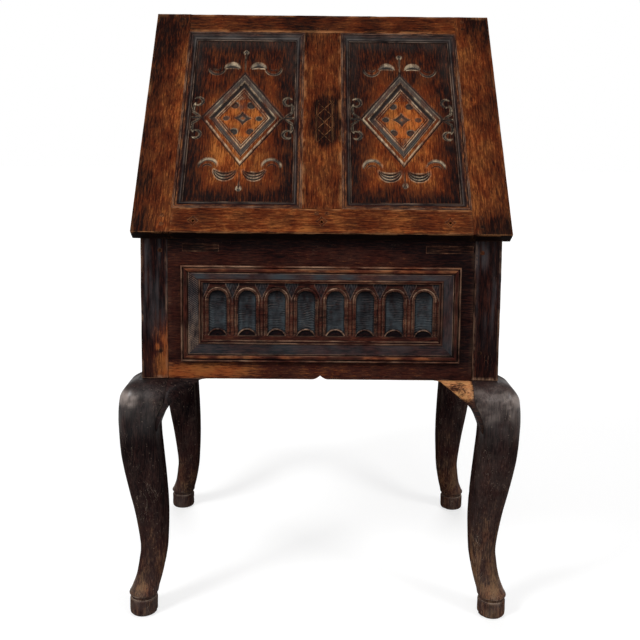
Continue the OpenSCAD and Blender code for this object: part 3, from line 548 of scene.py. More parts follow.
def moulding(name, start, end, inward, section, widths, place, base, tone, wear=0.3, dull=None, chatter=0.0,
             bloom_and_sheen=None):
    """A mitred strip. Its section gives the distance in from the outer edge and the height.

    `dull` is the band (from, to, strength) that carries grey dust and painted sheen, `chatter` the
    depth of the slanting tool marks in that band.
    """
    start, end, inward = (np.array(v, float) for v in (start, end, inward))
    length = np.linalg.norm(end - start)
    direction = (end - start) / length
    section = finer(section, SECTION_STEP)
    width = section[:, 0].max()
    near, far = (w / width for w in widths)
    stations = np.linspace(0, 1, max(2, round(length / (MARKED_STEP if chatter else PLAIN_STEP))))
    rings = []
    for t in stations:
        run = section[:, 0] * near + (length - section[:, 0] * (near + far)) * t
        flat = start + direction * run[:, None] + inward * section[:, :1]
        rings.append(np.column_stack([flat, base + section[:, 1]]))
    points, quads, ends = loft_mesh(rings)
    seed = zlib.crc32(name.encode()) % 1000
    top = smooth(points[:, 2], base + 0.3, base + 1.5)
    points[:, 2] -= wear * mottle(points, 0.5, (0.3, 40), (0.2, 9), seed) * top
    if dull is not None:
        inset = np.tile(section[:, 0], len(stations))
        band = between(inset, (dull[0], dull[0] + 1), (dull[1] - 1, dull[1]))
        lines = points[:, 1] + 0.7 * points[:, 0] + 1.5 * noise(points, 14, seed + 2)
        points[:, 2] -= chatter * band * (0.5 - 0.5 * np.cos(lines * 2 * np.pi / TOOL_MARK_STEP))
        bloom_and_sheen = dull[2] * band * (0.8 + 0.5 * noise(points, 24, seed + 3))
    quiet = 0.45 + 0.5 * noise(points, (26, 26, 26), seed + 4)
    return make_piece(name, points, quads, ends, place, int(np.abs(direction[1]) > 0.5), tone, quiet=quiet,
                      bloom_and_sheen=bloom_and_sheen)


# ---------- finishes ----------

def paint(red, green, blue):
    """A colour as it is seen on a screen, 0 to 255, for a shader socket."""
    tone = [v / 255 for v in (red, green, blue)]
    return [v / 12.92 if v <= 0.04045 else ((v + 0.055) / 1.055) ** 2.4 for v in tone] + [1.0]


def feed(tree, socket, value):
    """Links an output to a socket, or sets the socket to a plain value."""
    if isinstance(value, bpy.types.NodeSocket):
        tree.links.new(value, socket)
    elif value is not None:
        socket.default_value = value


def add_node(tree, kind, *values, **settings):
    """Adds a shader node, sets it up and feeds its inputs in order. Returns its outputs."""
    made = tree.nodes.new("ShaderNode" + kind)
    for key, value in settings.items():
        setattr(made, key, value)
    for socket, value in zip(made.inputs, values):
        feed(tree, socket, value)
    return made.outputs


def sum_of(tree, *values):
    """Sum of several outputs or numbers."""
    total = values[0]
    for value in values[1:]:
        total = add_node(tree, "Math", total, value, operation="ADD")[0]
    return total


def times(tree, a, b):
    """Product of two outputs or numbers."""
    return add_node(tree, "Math", a, b, operation="MULTIPLY")[0]


def rise(tree, value, low, high, start=0.0, end=1.0):
    """A value that goes softly from `start` to `end` as the input goes from `low` to `high`."""
    return add_node(tree, "MapRange", value, low, high, start, end, interpolation_type="SMOOTHSTEP")[0]


def colour_mix(tree, share, a, b, mode="MIX"):
    """Colour that goes from `a` to `b` as the share goes from 0 to 1."""
    made = tree.nodes.new("ShaderNodeMix")
    made.data_type = "RGBA"
    made.blend_type = mode
    for key, value in ((0, share), (6, a), (7, b)):
        feed(tree, made.inputs[key], value)
    return made.outputs[2]


def stretched_noise(tree, place, scale, detail=2.0, roughness=0.5, distortion=0.0):
    """Noise on the grain place, with its own number of features per metre along each axis."""
    vector = add_node(tree, "VectorMath", place, scale, operation="MULTIPLY")[0]
    made = tree.nodes.new("ShaderNodeTexNoise")
    values = {"Vector": vector, "Scale": 1.0, "Detail": detail, "Roughness": roughness,
              "Distortion": distortion}
    for label, value in values.items():
        feed(tree, made.inputs[label], value)
    return made.outputs[0]


def new_group(name, inputs, outputs):
    """An empty node group with named sockets, and its inside input and output nodes."""
    group = bpy.data.node_groups.new(name, "ShaderNodeTree")
    for side, sockets in (("INPUT", inputs), ("OUTPUT", outputs)):
        for label, kind in sockets.items():
            group.interface.new_socket(label, in_out=side, socket_type="NodeSocket" + kind)
    inside = group.nodes.new("NodeGroupInput").outputs
    outside = group.nodes.new("NodeGroupOutput").inputs
    return group, inside, outside


def build_oak_grain():
    """Streaks, fibres, pores, ray flecks and blotches of sawn oak, and their height."""
    group, inside, outside = new_group(
        "Oak Grain", {"Place": "Vector"},
        {"Streaks": "Float", "Fibres": "Float", "Pores": "Float", "Flecks": "Float",
         "Blotches": "Float", "Height": "Float"})
    place = inside["Place"]
    streaks = stretched_noise(group, place, (5, 95, 95), 5.0, 0.66, 0.4)
    fibres = stretched_noise(group, place, (45, 430, 430), 4.0, 0.75)
    pores = rise(group, stretched_noise(group, place, (75, 480, 480), 1.0), 0.57, 0.66)
    flecks = rise(group, stretched_noise(group, place, (130, 330, 330), 1.0), 0.58, 0.67)
    blotches = stretched_noise(group, place, (24, 36, 36), 4.0, 0.62)
    height = sum_of(group, times(group, fibres, 0.5), times(group, streaks, 0.6), times(group, pores, -0.5))
    for label, value in (("Streaks", streaks), ("Fibres", fibres), ("Pores", pores), ("Flecks", flecks),
                         ("Blotches", blotches), ("Height", height)):
        feed(group, outside[label], value)
    return group


def build_old_wax():
    """Colour and roughness of blackened, waxed oak that is rubbed through on its arrises, with the painted
    highlights, shade and sheen that its marks carry.
    """
    floats = ["Tone", "Worn", "Hollow", "Bloom_And_Sheen", "Shine", "Figure", "Streaks", "Fibres", "Pores", "Flecks",
              "Blotches"]
    group, inside, outside = new_group(
        "Old Wax", {**{label: "Color" for label in ("Dark", "Middle", "Light", "Rubbed_And_Highlight", "Grime_And_Shade", "Haze")},
                    **{label: "Float" for label in floats}},
        {"Color": "Color", "Roughness": "Float", "Coat": "Float"})
    figure = sum_of(group, times(group, sum_of(group, inside["Streaks"], -0.5), 0.4),
                    times(group, sum_of(group, inside["Fibres"], -0.5), 2.5),
                    times(group, sum_of(group, inside["Blotches"], -0.5), 0.5))
    shift = sum_of(group, inside["Tone"], times(group, figure, inside["Figure"]))
    colour = colour_mix(group, rise(group, shift, -0.12, 0.52), inside["Dark"], inside["Middle"])
    colour = colour_mix(group, rise(group, shift, 0.45, 1.1), colour, inside["Light"])
    patchy = rise(group, inside["Blotches"], 0.38, 0.62)
    tint = colour_mix(group, patchy, (1, 0.82, 0.76, 1), (1, 1.06, 0.98, 1))
    colour = colour_mix(group, 1.0, colour, tint, "MULTIPLY")
    pores = times(group, times(group, inside["Pores"], 0.6), inside["Figure"])
    colour = colour_mix(group, pores, colour, inside["Dark"])
    fleck = times(group, inside["Flecks"], rise(group, shift, 0.15, 0.9, 0.0, 0.6))
    fleck = times(group, fleck, inside["Figure"])
    colour = colour_mix(group, fleck, colour, inside["Light"])
    mottled = sum_of(group, inside["Blotches"], times(group, inside["Fibres"], 0.7))
    # grey bloom, partly dust and partly painted sheen and highlights
    bloom_and_sheen = times(group, inside["Bloom_And_Sheen"], rise(group, mottled, 0.55, 1.0, 0.35, 1.1))
    colour = colour_mix(group, bloom_and_sheen, colour, inside["Haze"])
    # dirt in the hollows, partly painted shade
    dirt_and_shade = times(group, inside["Hollow"], rise(group, inside["Fibres"], 0.1, 0.6, 0.7, 1.0))
    colour = colour_mix(group, dirt_and_shade, colour, inside["Grime_And_Shade"])
    # rubbed arrises, partly painted highlights
    rub = times(group, inside["Worn"], rise(group, mottled, 0.62, 1.05))
    colour = colour_mix(group, rub, colour, inside["Rubbed_And_Highlight"])
    rough = sum_of(group, 0.55, times(group, sum_of(group, inside["Fibres"], -0.5), 0.25),
                   times(group, inside["Hollow"], 0.2), times(group, inside["Pores"], 0.15),
                   times(group, rub, -0.08))
    feed(group, outside["Color"], colour)
    feed(group, outside["Roughness"], rough)
    feed(group, outside["Coat"], times(group, inside["Shine"], rise(group, mottled, 0.45, 0.95, 0.4, 1.0)))
    return group


def build_scratches():
    """Mask of thin looping scratches and small pale specks, in scattered patches."""
    group, inside, outside = new_group(
        "Scratches", {"Place": "Vector", "Lines": "Float", "Specks": "Float"}, {"Mask": "Float"})
    place = inside["Place"]
    field = stretched_noise(group, place, (14, 42, 42), 3.0, 0.6, 1.2)
    near = add_node(group, "Math", sum_of(group, field, -0.5), operation="ABSOLUTE")[0]
    line = rise(group, near, 0.0, 0.004, 1.0, 0.0)
    patch = rise(group, stretched_noise(group, place, (16, 24, 24), 2.0), 0.54, 0.64)
    speck = rise(group, stretched_noise(group, place, (340, 420, 420), 1.0), 0.70, 0.78)
    lines = times(group, times(group, line, patch), inside["Lines"])
    specks = times(group, speck, inside["Specks"])
    feed(group, outside["Mask"], sum_of(group, lines, specks))
    return group


OAK_GRAIN = build_oak_grain()
OLD_WAX = build_old_wax()
SCRATCHES = build_scratches()


def attribute(tree, label, output="Fac"):
    """One of the marks that the mesh carries."""
    made = tree.nodes.new("ShaderNodeAttribute")
    made.attribute_name = label
    return made.outputs[output]


def use_group(tree, group, values):
    """Places a node group with its own values. Returns its outputs."""
    made = tree.nodes.new("ShaderNodeGroup")
    made.node_tree = group
    for label, value in values.items():
        feed(tree, made.inputs[label], value)
    return made.outputs


def oak(name, dark, middle, light, rubbed, grime_and_shade, haze, sheen=0.38, figure=1.0, scratches=0.0, specks=0.0,
        relief=0.35):
    """Old oak in the colours of one part of the piece.

    `sheen` is the roughness of its wax, `relief` the height of its grain in millimetres.
    """
    material = bpy.data.materials.new(name)
    material.use_nodes = True
    tree = material.node_tree
    shader = tree.nodes["Principled BSDF"]
    shader.inputs["Specular IOR Level"].default_value = 0.0
    shader.inputs["Coat Roughness"].default_value = sheen
    place = attribute(tree, "grain", "Vector")
    grain = use_group(tree, OAK_GRAIN, {"Place": place})
    marks = {label: grain[label] for label in ("Streaks", "Fibres", "Pores", "Flecks", "Blotches")}
    colours = {"Dark": paint(*dark), "Middle": paint(*middle), "Light": paint(*light),
               "Rubbed_And_Highlight": paint(*rubbed), "Grime_And_Shade": paint(*grime_and_shade), "Haze": paint(*haze)}
    marks |= {label.title(): attribute(tree, label)
              for label in ("tone", "worn", "hollow", "bloom_and_sheen", "shine")}
    coat = use_group(tree, OLD_WAX, {**colours, **marks, "Figure": figure})
    scuff = use_group(tree, SCRATCHES, {"Place": place, "Lines": scratches, "Specks": specks})["Mask"]
    colour = colour_mix(tree, scuff, coat["Color"], paint(*rubbed))
    bump = tree.nodes.new("ShaderNodeBump")
    bump.inputs["Distance"].default_value = relief * MM
    feed(tree, bump.inputs["Height"], grain["Height"])
    feed(tree, shader.inputs["Base Color"], colour)
    feed(tree, shader.inputs["Roughness"], coat["Roughness"])
    feed(tree, shader.inputs["Coat Weight"], coat["Coat"])
    feed(tree, shader.inputs["Normal"], bump.outputs[0])
    return material


def wrought_iron(name):
    """Dark hammered iron with brown rust in its dips."""
    material = bpy.data.materials.new(name)
    material.use_nodes = True
    tree = material.node_tree
    shader = tree.nodes["Principled BSDF"]
    place = add_node(tree, "TexCoord")["Object"]
    dents = stretched_noise(tree, place, (260, 260, 260), 3.0)
    rust = rise(tree, stretched_noise(tree, place, (90, 90, 90), 4.0), 0.5, 0.7)
    feed(tree, shader.inputs["Base Color"], colour_mix(tree, rust, paint(58, 56, 55), paint(74, 48, 34)))
    feed(tree, shader.inputs["Metallic"], rise(tree, rust, 0.0, 1.0, 0.85, 0.1))
    feed(tree, shader.inputs["Roughness"], rise(tree, dents, 0.2, 0.8, 0.4, 0.7))
    bump = tree.nodes.new("ShaderNodeBump")
    bump.inputs["Distance"].default_value = 0.3 * MM
    feed(tree, bump.inputs["Height"], dents)
    feed(tree, shader.inputs["Normal"], bump.outputs[0])
    return material


# Each oak has its dark, middle and light colour, then those of rubbed arrises and painted highlights, of
# grime and painted shade, and of grey bloom and painted sheen
LID_OAK = oak("Lid oak", (21, 12, 11), (80, 39, 21), (142, 82, 42),
              (172, 118, 76), (14, 10, 10), (58, 46, 42), figure=0.85, relief=0.3)
PANEL_OAK = oak("Panel oak", (20, 15, 16), (88, 42, 22), (166, 98, 48),
                (194, 172, 142), (22, 19, 20), (74, 69, 64), figure=0.7, relief=0.25)
MOULDING_OAK = oak("Moulding oak", (18, 14, 16), (54, 34, 29), (122, 74, 44),
                   (150, 126, 108), (13, 11, 13), (78, 74, 72))
CASE_OAK = oak("Carcass oak", (14, 9, 11), (56, 29, 24), (136, 78, 42),
               (146, 112, 90), (9, 7, 8), (64, 62, 64), figure=0.65, scratches=0.2, relief=0.5)
CARVED_OAK = oak("Carved oak", (16, 11, 13), (64, 33, 27), (128, 80, 52),
                 (176, 140, 114), (10, 8, 11), (58, 64, 68), figure=0.6)
PATCH_OAK = oak("Patch oak", (18, 12, 12), (60, 38, 30), (120, 88, 66),
                (150, 128, 112), (10, 8, 9), (60, 58, 60))
INSIDE_OAK = oak("Inside oak", (44, 29, 20), (90, 60, 40), (134, 96, 66),
                 (150, 114, 82), (32, 22, 16), (96, 86, 74), figure=0.8)
LEG_OAK = oak("Leg oak", (13, 9, 11), (50, 35, 34), (120, 88, 66),
              (176, 156, 138), (8, 7, 8), (138, 126, 120),
              sheen=0.32, figure=0.6, scratches=0.6, specks=0.26, relief=0.2)
TORN_OAK = oak("Torn bracket oak", (14, 10, 12), (60, 38, 30), (186, 132, 88),
               (150, 112, 84), (12, 8, 8), (90, 80, 72), figure=0.8)
PEG_OAK = oak("Peg oak", (20, 13, 12), (72, 40, 25), (116, 72, 44),
              (118, 82, 58), (10, 8, 8), (50, 44, 42))
IRON = wrought_iron("Wrought iron")


# ---------- tones: 0 is blackened, 1 is warm and rubbed ----------

# Knots, each by its place across and up: in the lid's stiles, and in the left front post
LID_KNOTS = ((-304, 300), (-303, 429), (291, 292))
POST_KNOT = (-292, 496)

# Burnt place on the muntin: its middle, half its width and height, and how square its outline is
SCORCH_MIDDLE = (9, 239)
SCORCH_HALF = (35, 62)
SCORCH_SQUARE = 2.6


def knot(across, up, place, pale, dark):
    """Tone of a knot: a pale eye in a dark ring, longer up than across."""
    ring = np.hypot(across - place[0], (up - place[1]) * 0.7)
    return pale * (1 - smooth(ring, 3, 5)) - dark * hump(ring, 8, 4)


def lid_frame_tone(points):
    """Warm in the middle of the slope, darker at the hinges and outward, burnt in the middle, and black on
    the lower end face as painted shade.
    """
    x, v = points[:, 0], points[:, 1]
    across = np.abs(x)
    tone = mottle(points, 0.46, (0.20, (34, 90, 30)), (0.14, 26), 11)

    # dark towards the hinges, and a lighter band down each stile inside its dark outer edge
    tone -= 0.16 * smooth(v, 380, 490)
    tone += 0.16 * hump(across, 272, 20) - 0.18 * smooth(across, 296, 330)
    tone -= 0.20 * smooth(-x, 280, 326)

    # darker top of the muntin, and a lighter arris along the foot, partly rubbed and partly a painted
    # highlight
    tone -= 0.12 * smooth(v, 300, 420) * (1 - smooth(across, 60, 100))
    tone += 0.30 * hump(v, 5, 5) * (1 - 0.7 * smooth(x, 200, 260))

    # upper left, upper right, lower right and lower left corner, and a lighter lower right stile
    tone -= 0.36 * smooth(-x, 250, 305) * smooth(v, 300, 480)
    tone -= 0.30 * smooth(x, 262, 300) * smooth(v, 420, 480)
    tone -= 0.50 * smooth(x, 244, 284) * smooth(-v, -52, -14)
    tone -= 0.22 * smooth(-x, 268, 310) * smooth(-v, -60, -10)
    tone += 0.10 * smooth(x, 250, 300) * hump(v, 150, 130)

    for place in LID_KNOTS:
        tone += knot(x, v, place, 0.35, 0.25)
    tone -= 0.72 * scorch(points)
    # painted shade: the lower end face, turned down and away from the light, is made dark
    return tone * smooth(v, 0.2, 2.6) - 0.3 * (1 - smooth(v, 0.2, 1.4))


def scorch(points):
    """1 in the burnt middle of the muntin's outer face, with an uneven soft edge."""
    across, up = np.abs(points[:, :2] - SCORCH_MIDDLE).T / np.array(SCORCH_HALF)[:, None]
    away = (across ** SCORCH_SQUARE + up ** SCORCH_SQUARE) ** (1 / SCORCH_SQUARE)
    burnt = 1 - smooth(away + 0.14 * noise(points, 16, 13), 0.66, 1.08)
    return burnt * smooth(points[:, 2], LID_THICK - 16, LID_THICK - 7)


def lid_calm(points):
    """The frame is hardly rubbed under its foot and beside the scorch, and most on the lattice."""
    x, v, w = points.T
    under = (v < 3) * (1 - smooth(w, LID_THICK - 6, LID_THICK - 3))
    charred = scorch(points) * (np.abs(x) > 30)
    lattice = (np.abs(x) < 28) * (v > 180) * (v < 300)
    return np.maximum(np.where(lattice, -0.4, 0.35), 0.95 * np.maximum(under, charred))


def lid_end_shade(points):
    """Painted shade on the lid's lower end face, laid on as black in the dirt mark."""
    end = 1 - smooth(points[:, 1], 0.1, 1.0)
    return 0.85 * end * (1 - smooth(points[:, 2], LID_THICK - 4, LID_THICK - 1))


def panel_edge(points):
    """Distance of a point of the lid from the edge of its panel's opening."""
    x, v = np.abs(points[:, 0]), points[:, 1]
    return np.minimum(np.minimum(x - OPEN_IN, OPEN_OUT - x), np.minimum(v - OPEN_LOW, OPEN_HIGH - v))


def panel_tone(points):
    """A warm middle that darkens upward, and to black towards the edges and the lower corners."""
    x, v = np.abs(points[:, 0]), points[:, 1]
    left = points[:, 0] < 0
    away = panel_edge(points) - BEAD_WIDTH
    tone = mottle(points, 0.64, (0.18, (24, 60, 24)), (0.15, 15), 21)
    tone -= 0.40 * smooth(v, 230, 380)

    # black edge, broader at the top, and rounded off in the lower corners
    edge = smooth(away, 1, 60 + 14 * noise(points, 45, 23))
    edge *= 0.45 + 0.55 * smooth(OPEN_HIGH - BEAD_WIDTH - v, 0, 120 + 20 * noise(points, 40, 24))
    sides = np.minimum(x - OPEN_IN, OPEN_OUT - x) - BEAD_WIDTH
    corner = np.hypot(np.maximum(0, 70 - sides), np.maximum(0, 90 - (v - OPEN_LOW - BEAD_WIDTH)))
    edge *= 1 - 0.8 * smooth(corner, 52, 100) * np.where(left, 1.0, 0.6)

    # lighter field in the middle of the lozenge, darker upper half of its outer band
    lozenge = lozenge_share(x - (OPEN_IN + OPEN_OUT) / 2, v - LOZENGE_UP)
    tone += 0.18 * (1 - smooth(lozenge, 0.50, 0.58))
    tone -= 0.10 * hump(lozenge, 0.93, 0.12) * smooth(v, 220, 260)
    return tone * edge - 0.10 * (1 - smooth(away, 0, 16))


def lid_moulding_tone(points):
    """Warm outer arris and inner line, dark hollow and bead, darker towards the hinges."""
    away = panel_edge(points) / BEAD_WIDTH
    tone = mottle(points, 0.14, (0.12, 45), (0.10, 12), 31)
    tone += 0.48 * (1 - smooth(away, 0.42, 0.56)) + 0.22 * hump(away, 0.92, 0.1)
    return tone - 0.25 * smooth(points[:, 1], 360, 450)


def lid_moulding_bloom(points):
    """Grey bloom on the bead, and over the whole strip at the top."""
    away = panel_edge(points) / BEAD_WIDTH
    top = smooth(points[:, 1], 400, 452)
    bead = (0.5 + 0.2 * top) * hump(away, 0.74, 0.15) + 0.45 * top * smooth(away, 0.1, 0.3)
    return bead * (0.75 + 0.6 * noise(points, 30, 33))


def front_tone(points):
    """Warm along the lower edge, most of all on the left, dark on the right, with a painted shadow of the
    lid along the top.
    """
    x, z = points[:, 0], points[:, 1]
    tone = mottle(points, 0.26, (0.12, (90, 25, 40)), (0.08, (30, 9, 20)), 41)
    tone += 0.54 * smooth(-x, 60, 200) * hump(z, 452, 26)
    tone += 0.22 * hump(z, 452, 25)
    tone -= 0.22 * smooth(x, 90, 230)
    # painted shadow of the lid along the upper edge
    return tone - 0.10 * smooth(z, 640, 680) - 0.30 * smooth(z, 668, 688)


def post_tone(points):
    """Nearly black, with one warm rubbed place low on the left front post."""
    x, y, z = points.T
    tone = mottle(points, 0.06, (0.12, (9, 9, 60)), (0.08, (4, 4, 30)), 51)
    inner = smooth(x, -OUTER_X + 6, -INNER_X - 4)
    tone += 0.80 * smooth(-z, -575, -505) * inner * (x < 0) * (y < 0)
    tone += knot(x, z, POST_KNOT, 0.3, 0.3)
    return tone + 0.10 * smooth(-z, -520, -440)


def post_bloom(points):
    """Grey weathered streaks down the posts."""
    fine = smooth(noise(points, (2.5, 2.5, 60), 53), -0.1, 0.8)
    return fine * 0.7 * smooth(points[:, 2], 480, 600)


def leg_tone(level):
    """Nearly black at the knee, browner towards the foot, lightest on the toe as a painted highlight,
    darker at the pad, with painted shade on the inner faces.
    """
    def tone(points):
        height, outer, inner = points[:, 2], points[:, :2].max(1), points[:, :2].min(1)
        value = mottle(points, level, (0.15, (16, 16, 90)), (0.16, (5, 5, 50)), 61)
        value += 0.46 * smooth(-height, -290, -90) - 0.10 * smooth(-height, -TOE_H, -PAD_H)
        # painted highlight along the top of the toe
        value += 0.22 * hump(height, TOE_H + 14, 16) * smooth(outer, 4, 22)
        # painted shade on the inner faces
        return value - 0.14 * smooth(-inner, 30, 44)
    return tone


def leg_dust_and_highlight(dusty):
    """A painted highlight on the knee's outer corner, grey dust on the pads, and, as far as `dusty` goes,
    painted sheen on the knee with a little dust down the leg.
    """
    def bloom_and_sheen(points):
        height = points[:, 2]
        pads = 0.15 * (1 - smooth(height, TOE_H - 8, TOE_H + 4)) * (0.6 + 0.8 * noise(points, 9, 64))
        knee = between(height, (LEG_TOP - 80, LEG_TOP - 44), (LEG_TOP - 20, LEG_TOP))
        outer = smooth(points[:, :2].max(1), -12, 12)
        streaks = mottle(points, 0.70, (0.6, (3, 3, 16)), (0.5, (14, 14, 10)), 66)
        # painted highlight on the outer front corner of the knee
        corner = smooth(points[:, :2].sum(1), 30, 52) * hump(height, LEG_TOP - 28, 20)
        painted_highlight = 1.3 * corner * (0.8 + 0.6 * noise(points, 7, 68))
        # painted sheen on the knee, with faint dust down the leg
        dust_and_sheen = dusty * outer * streaks * (0.12 + 0.88 * knee) * smooth(height, TOE_H, TOE_H + 60)
        return pads + np.maximum(dust_and_sheen, painted_highlight)
    return bloom_and_sheen


def leg_shine(points):
    """Rubbed polish on the outer side of the knees and on the toes."""
    outer = smooth(points[:, :2].max(1), -20, 16) * smooth(points[:, :2].min(1), -52, -14)
    knee = smooth(points[:, 2], LEG_TOP - 120, LEG_TOP - 36)
    toe = between(points[:, 2], (TOE_H - 4, TOE_H + 6), (TOE_H + 16, TOE_H + 45))
    patchy = np.clip(0.8 + 0.4 * noise(points, (20, 20, 12), 65), 0, 1)
    return outer * (0.03 + (0.5 * knee + 0.3 * toe) * patchy)


def bracket_shine(points):
    """Polish of the knee, carried on over the part of a bracket beside it."""
    across, face = -points[:, :2].min(1), points[:, :2].max(1)
    knee = smooth(points[:, 2], LEG_TOP - 90, LEG_TOP - 50)
    return 0.03 + 0.3 * knee * smooth(face, -14, 4) * (1 - smooth(across, 40, 66))


def plain_tone(level, seed):
    """The same tone all over, only mottled."""
    return lambda points: mottle(points, level, (0.16, 60), (0.12, 21), seed)


# ---------- lid ----------

def in_hinge(x):
    """Whether a place across the lid lies over one of the two hinges."""
    return (np.abs(x) > HINGE_INNER) & (np.abs(x) < HINGE_OUTER)


def make_lid_frame():
    """Stiles, rails and muntin of the lid."""
    for side_name, side in SIDES.items():
        low, high = corners("lid_stile_" + side_name, to_lid)
        radius = np.array([[JOINT_R, OUTER_R, INNER_R], [OUTER_R, INNER_R, INNER_R]])
        if side < 0:
            radius[:, 0] = radius[::-1, 0]
        stile = board(f"lid_stile_{side_name}_wood", low, high, 1, on_lid, radius, tone=lid_frame_tone,
                      hollow=lid_end_shade, calm=lid_calm)
        fit(stile, LID_OAK, "lid")

    # lines over the dish round each ledge hole, outside the hole's own lines
    radius = [[JOINT_R, OUTER_R, INNER_R], [JOINT_R, INNER_R, INNER_R]]
    pits = [(2, 1, hole[:2], LEDGE_HOLE_R, LEDGE_HOLE_DEEP) for hole in LEDGE_HOLES]
    fine = np.arange(-DISH_LINES, DISH_LINES + 0.1, 1.5)
    fine = fine[np.abs(fine) > 6.2]
    marks = ([v for hole in LEDGE_HOLES for v in hole[0] + fine], list(LEDGE_HOLES[0][1] + fine), ())
    rail = board("lid_bottom_rail_wood", (-OPEN_OUT, 0, 0), (OPEN_OUT, OPEN_LOW, LID_THICK), 0, on_lid,
                 radius, step=4.0, marks=marks, pits=pits, carve=worn_round_holes, tone=lid_frame_tone,
                 hollow=lid_end_shade, calm=lid_calm)
    fit(rail, LID_OAK, "lid")

    radius = [[JOINT_R, INNER_R, INNER_R], [JOINT_R, INNER_R, OUTER_R]]
    leaf_foot = HINGE_LOW[1] - HINGE_PLAY
    rail = board("lid_top_rail_wood", (-OPEN_OUT, OPEN_HIGH, 0), (OPEN_OUT, LID_LENGTH, LID_THICK), 0,
                 on_lid, radius, marks=(HINGE_ENDS, (leaf_foot,), (HINGE_DEEP,)), tone=lid_frame_tone,
                 keep=lambda x, v, w: ~(in_hinge(x) & (v > leaf_foot) & (w < HINGE_DEEP)), calm=lid_calm)
    fit(rail, LID_OAK, "lid")

    marks = (np.arange(*LATTICE_ACROSS, LATTICE_STEP), np.arange(*LATTICE_UP, LATTICE_STEP), ())
    muntin = board("lid_muntin_wood", (-OPEN_IN, OPEN_LOW, 0), (OPEN_IN, OPEN_HIGH, LID_THICK), 1, on_lid,
                   [[INNER_R, JOINT_R, INNER_R]] * 2, marks=marks, carve=burnt_lattice, tone=lid_frame_tone,
                   calm=lid_calm)
    fit(muntin, LID_OAK, "lid")


def worn_round_holes(x, v):
    """Dished wear round each ledge hole, with a square rim turned on its corner."""
    sunk = np.zeros(len(x))
    for hole in LEDGE_HOLES:
        away = np.abs(x - hole[0]) + np.abs(v - hole[1])
        sunk = np.minimum(sunk, -1.1 * (1 - smooth(away, 8.0, 10.0)))
    return sunk


def burnt_lattice(x, v):
    """Ridges left standing as crossed lines between upright ones, in the scorched middle of the muntin."""
    inside = between(v, (189, 192), (288, 291)) * (np.abs(x - LATTICE_X) < 17)
    lines = np.zeros(len(x))
    for slant in (-1, 1):
        phase = (v - 192) / 31 + slant * (x - LATTICE_X) / 27 + 0.5
        lines = np.maximum(lines, 0.7 - 0.7 * smooth(np.abs(phase - np.round(phase)) * 20.5, 0.3, 1.1))
    for edge in (-14.5, 14.5):
        lines = np.maximum(lines, 1 - smooth(np.abs(x - LATTICE_X - edge), 0.4, 1.2))
    return -0.32 * (1 - lines) * inside


# Profile of the carved lozenge: distance inside its outer edge, and height
LOZENGE_PROFILE = np.array([
    [-4.6, 0], [-3.4, -0.4], [-1.2, -2.4], [0.3, -0.6], [1.1, 0.3], [2.6, 0.3], [3.8, -0.3], [8.6, -0.3],
    [9.6, 0.2], [10.6, 0.1], [11.4, -2.4], [12.8, -3.2], [16.4, -2.9], [18.8, -1.2], [19.8, 0.1],
    [21.2, 0.1], [22.2, -1.1], [23.2, -1.1], [24.0, 0.1], [25.2, 0.1], [26.4, -1.2], [62, -1.2]])
LOZENGE_HALF = (76.0, 105.0)
LOZENGE_RUN = LOZENGE_HALF[0] * LOZENGE_HALF[1] / math.hypot(*LOZENGE_HALF)
LOZENGE_UP = 253.0
LOZENGE_FIELD = 27


def arc_cut(x, y, centre, radius, start, end, width, depth):
    """A gouged arc with tapering ends, between two angles in degrees."""
    angle = np.degrees(np.arctan2(y - centre[1], x - centre[0]))
    angle = (angle - start) % 360 + start
    share = np.clip((angle - start) / (end - start), 0, 1)
    taper = np.sin(np.pi * share) ** 0.55
    half = width / 2 * taper + 0.05
    away = np.abs(np.hypot(x - centre[0], y - centre[1]) - radius)
    inside = angle <= end
    return -depth * taper * np.clip(1 - (away / half) ** 3, 0, 1) * inside


# Crescents: place across, then height and radius of the outer and of the inner arc
UPPER_MOON = (25.5, 120.0, 16.1, 55.5, 65.0)
LOWER_MOON = (26.5, -119.3, 20.8, -89.5, 33.5)
MOON_DEEP = 3.8


def in_moon(x, y, moon):
    """How far a place lies inside a crescent's outer arc, and outside its inner one."""
    middle, outer_y, outer_r, inner_y, inner_r = moon
    outer = outer_r - np.hypot(x - middle, y - outer_y)
    return outer, np.hypot(x - middle, y - inner_y) - inner_r


def moon_share(outer, inner):
    """0 on a crescent's outer arc, 1 on its inner one."""
    return np.clip(outer / np.maximum(outer + inner, 0.01), 0, 1)


def sloped_moon_cut(x, y):
    """The upper crescent slopes down from its outer arc to a wall along its inner one."""
    outer, inner = in_moon(x, y, UPPER_MOON)
    slope = smooth(moon_share(outer, inner), 0.0, 0.75)
    return -MOON_DEEP * slope * smooth(inner, 0.0, 1.2) * (outer > 0) * np.clip((outer + inner) / 6, 0, 1)


def moon_ribs(outer, inner):
    """1 on the ribs along a crescent, 0 in the cuts between them."""
    return 0.5 - 0.5 * np.cos(2 * np.pi * (moon_share(outer, inner) - 0.16) / 0.36)


def ribbed_moon_cut(x, y):
    """The lower crescent holds two ribs that follow its arcs."""
    outer, inner = in_moon(x, y, LOWER_MOON)
    deep = -MOON_DEEP * (1 - 0.75 * moon_ribs(outer, inner))
    deep = deep * smooth(outer, 0.0, 1.2) * smooth(inner, 0.0, 1.2)
    return deep * np.clip((outer + inner) / 5, 0, 1)


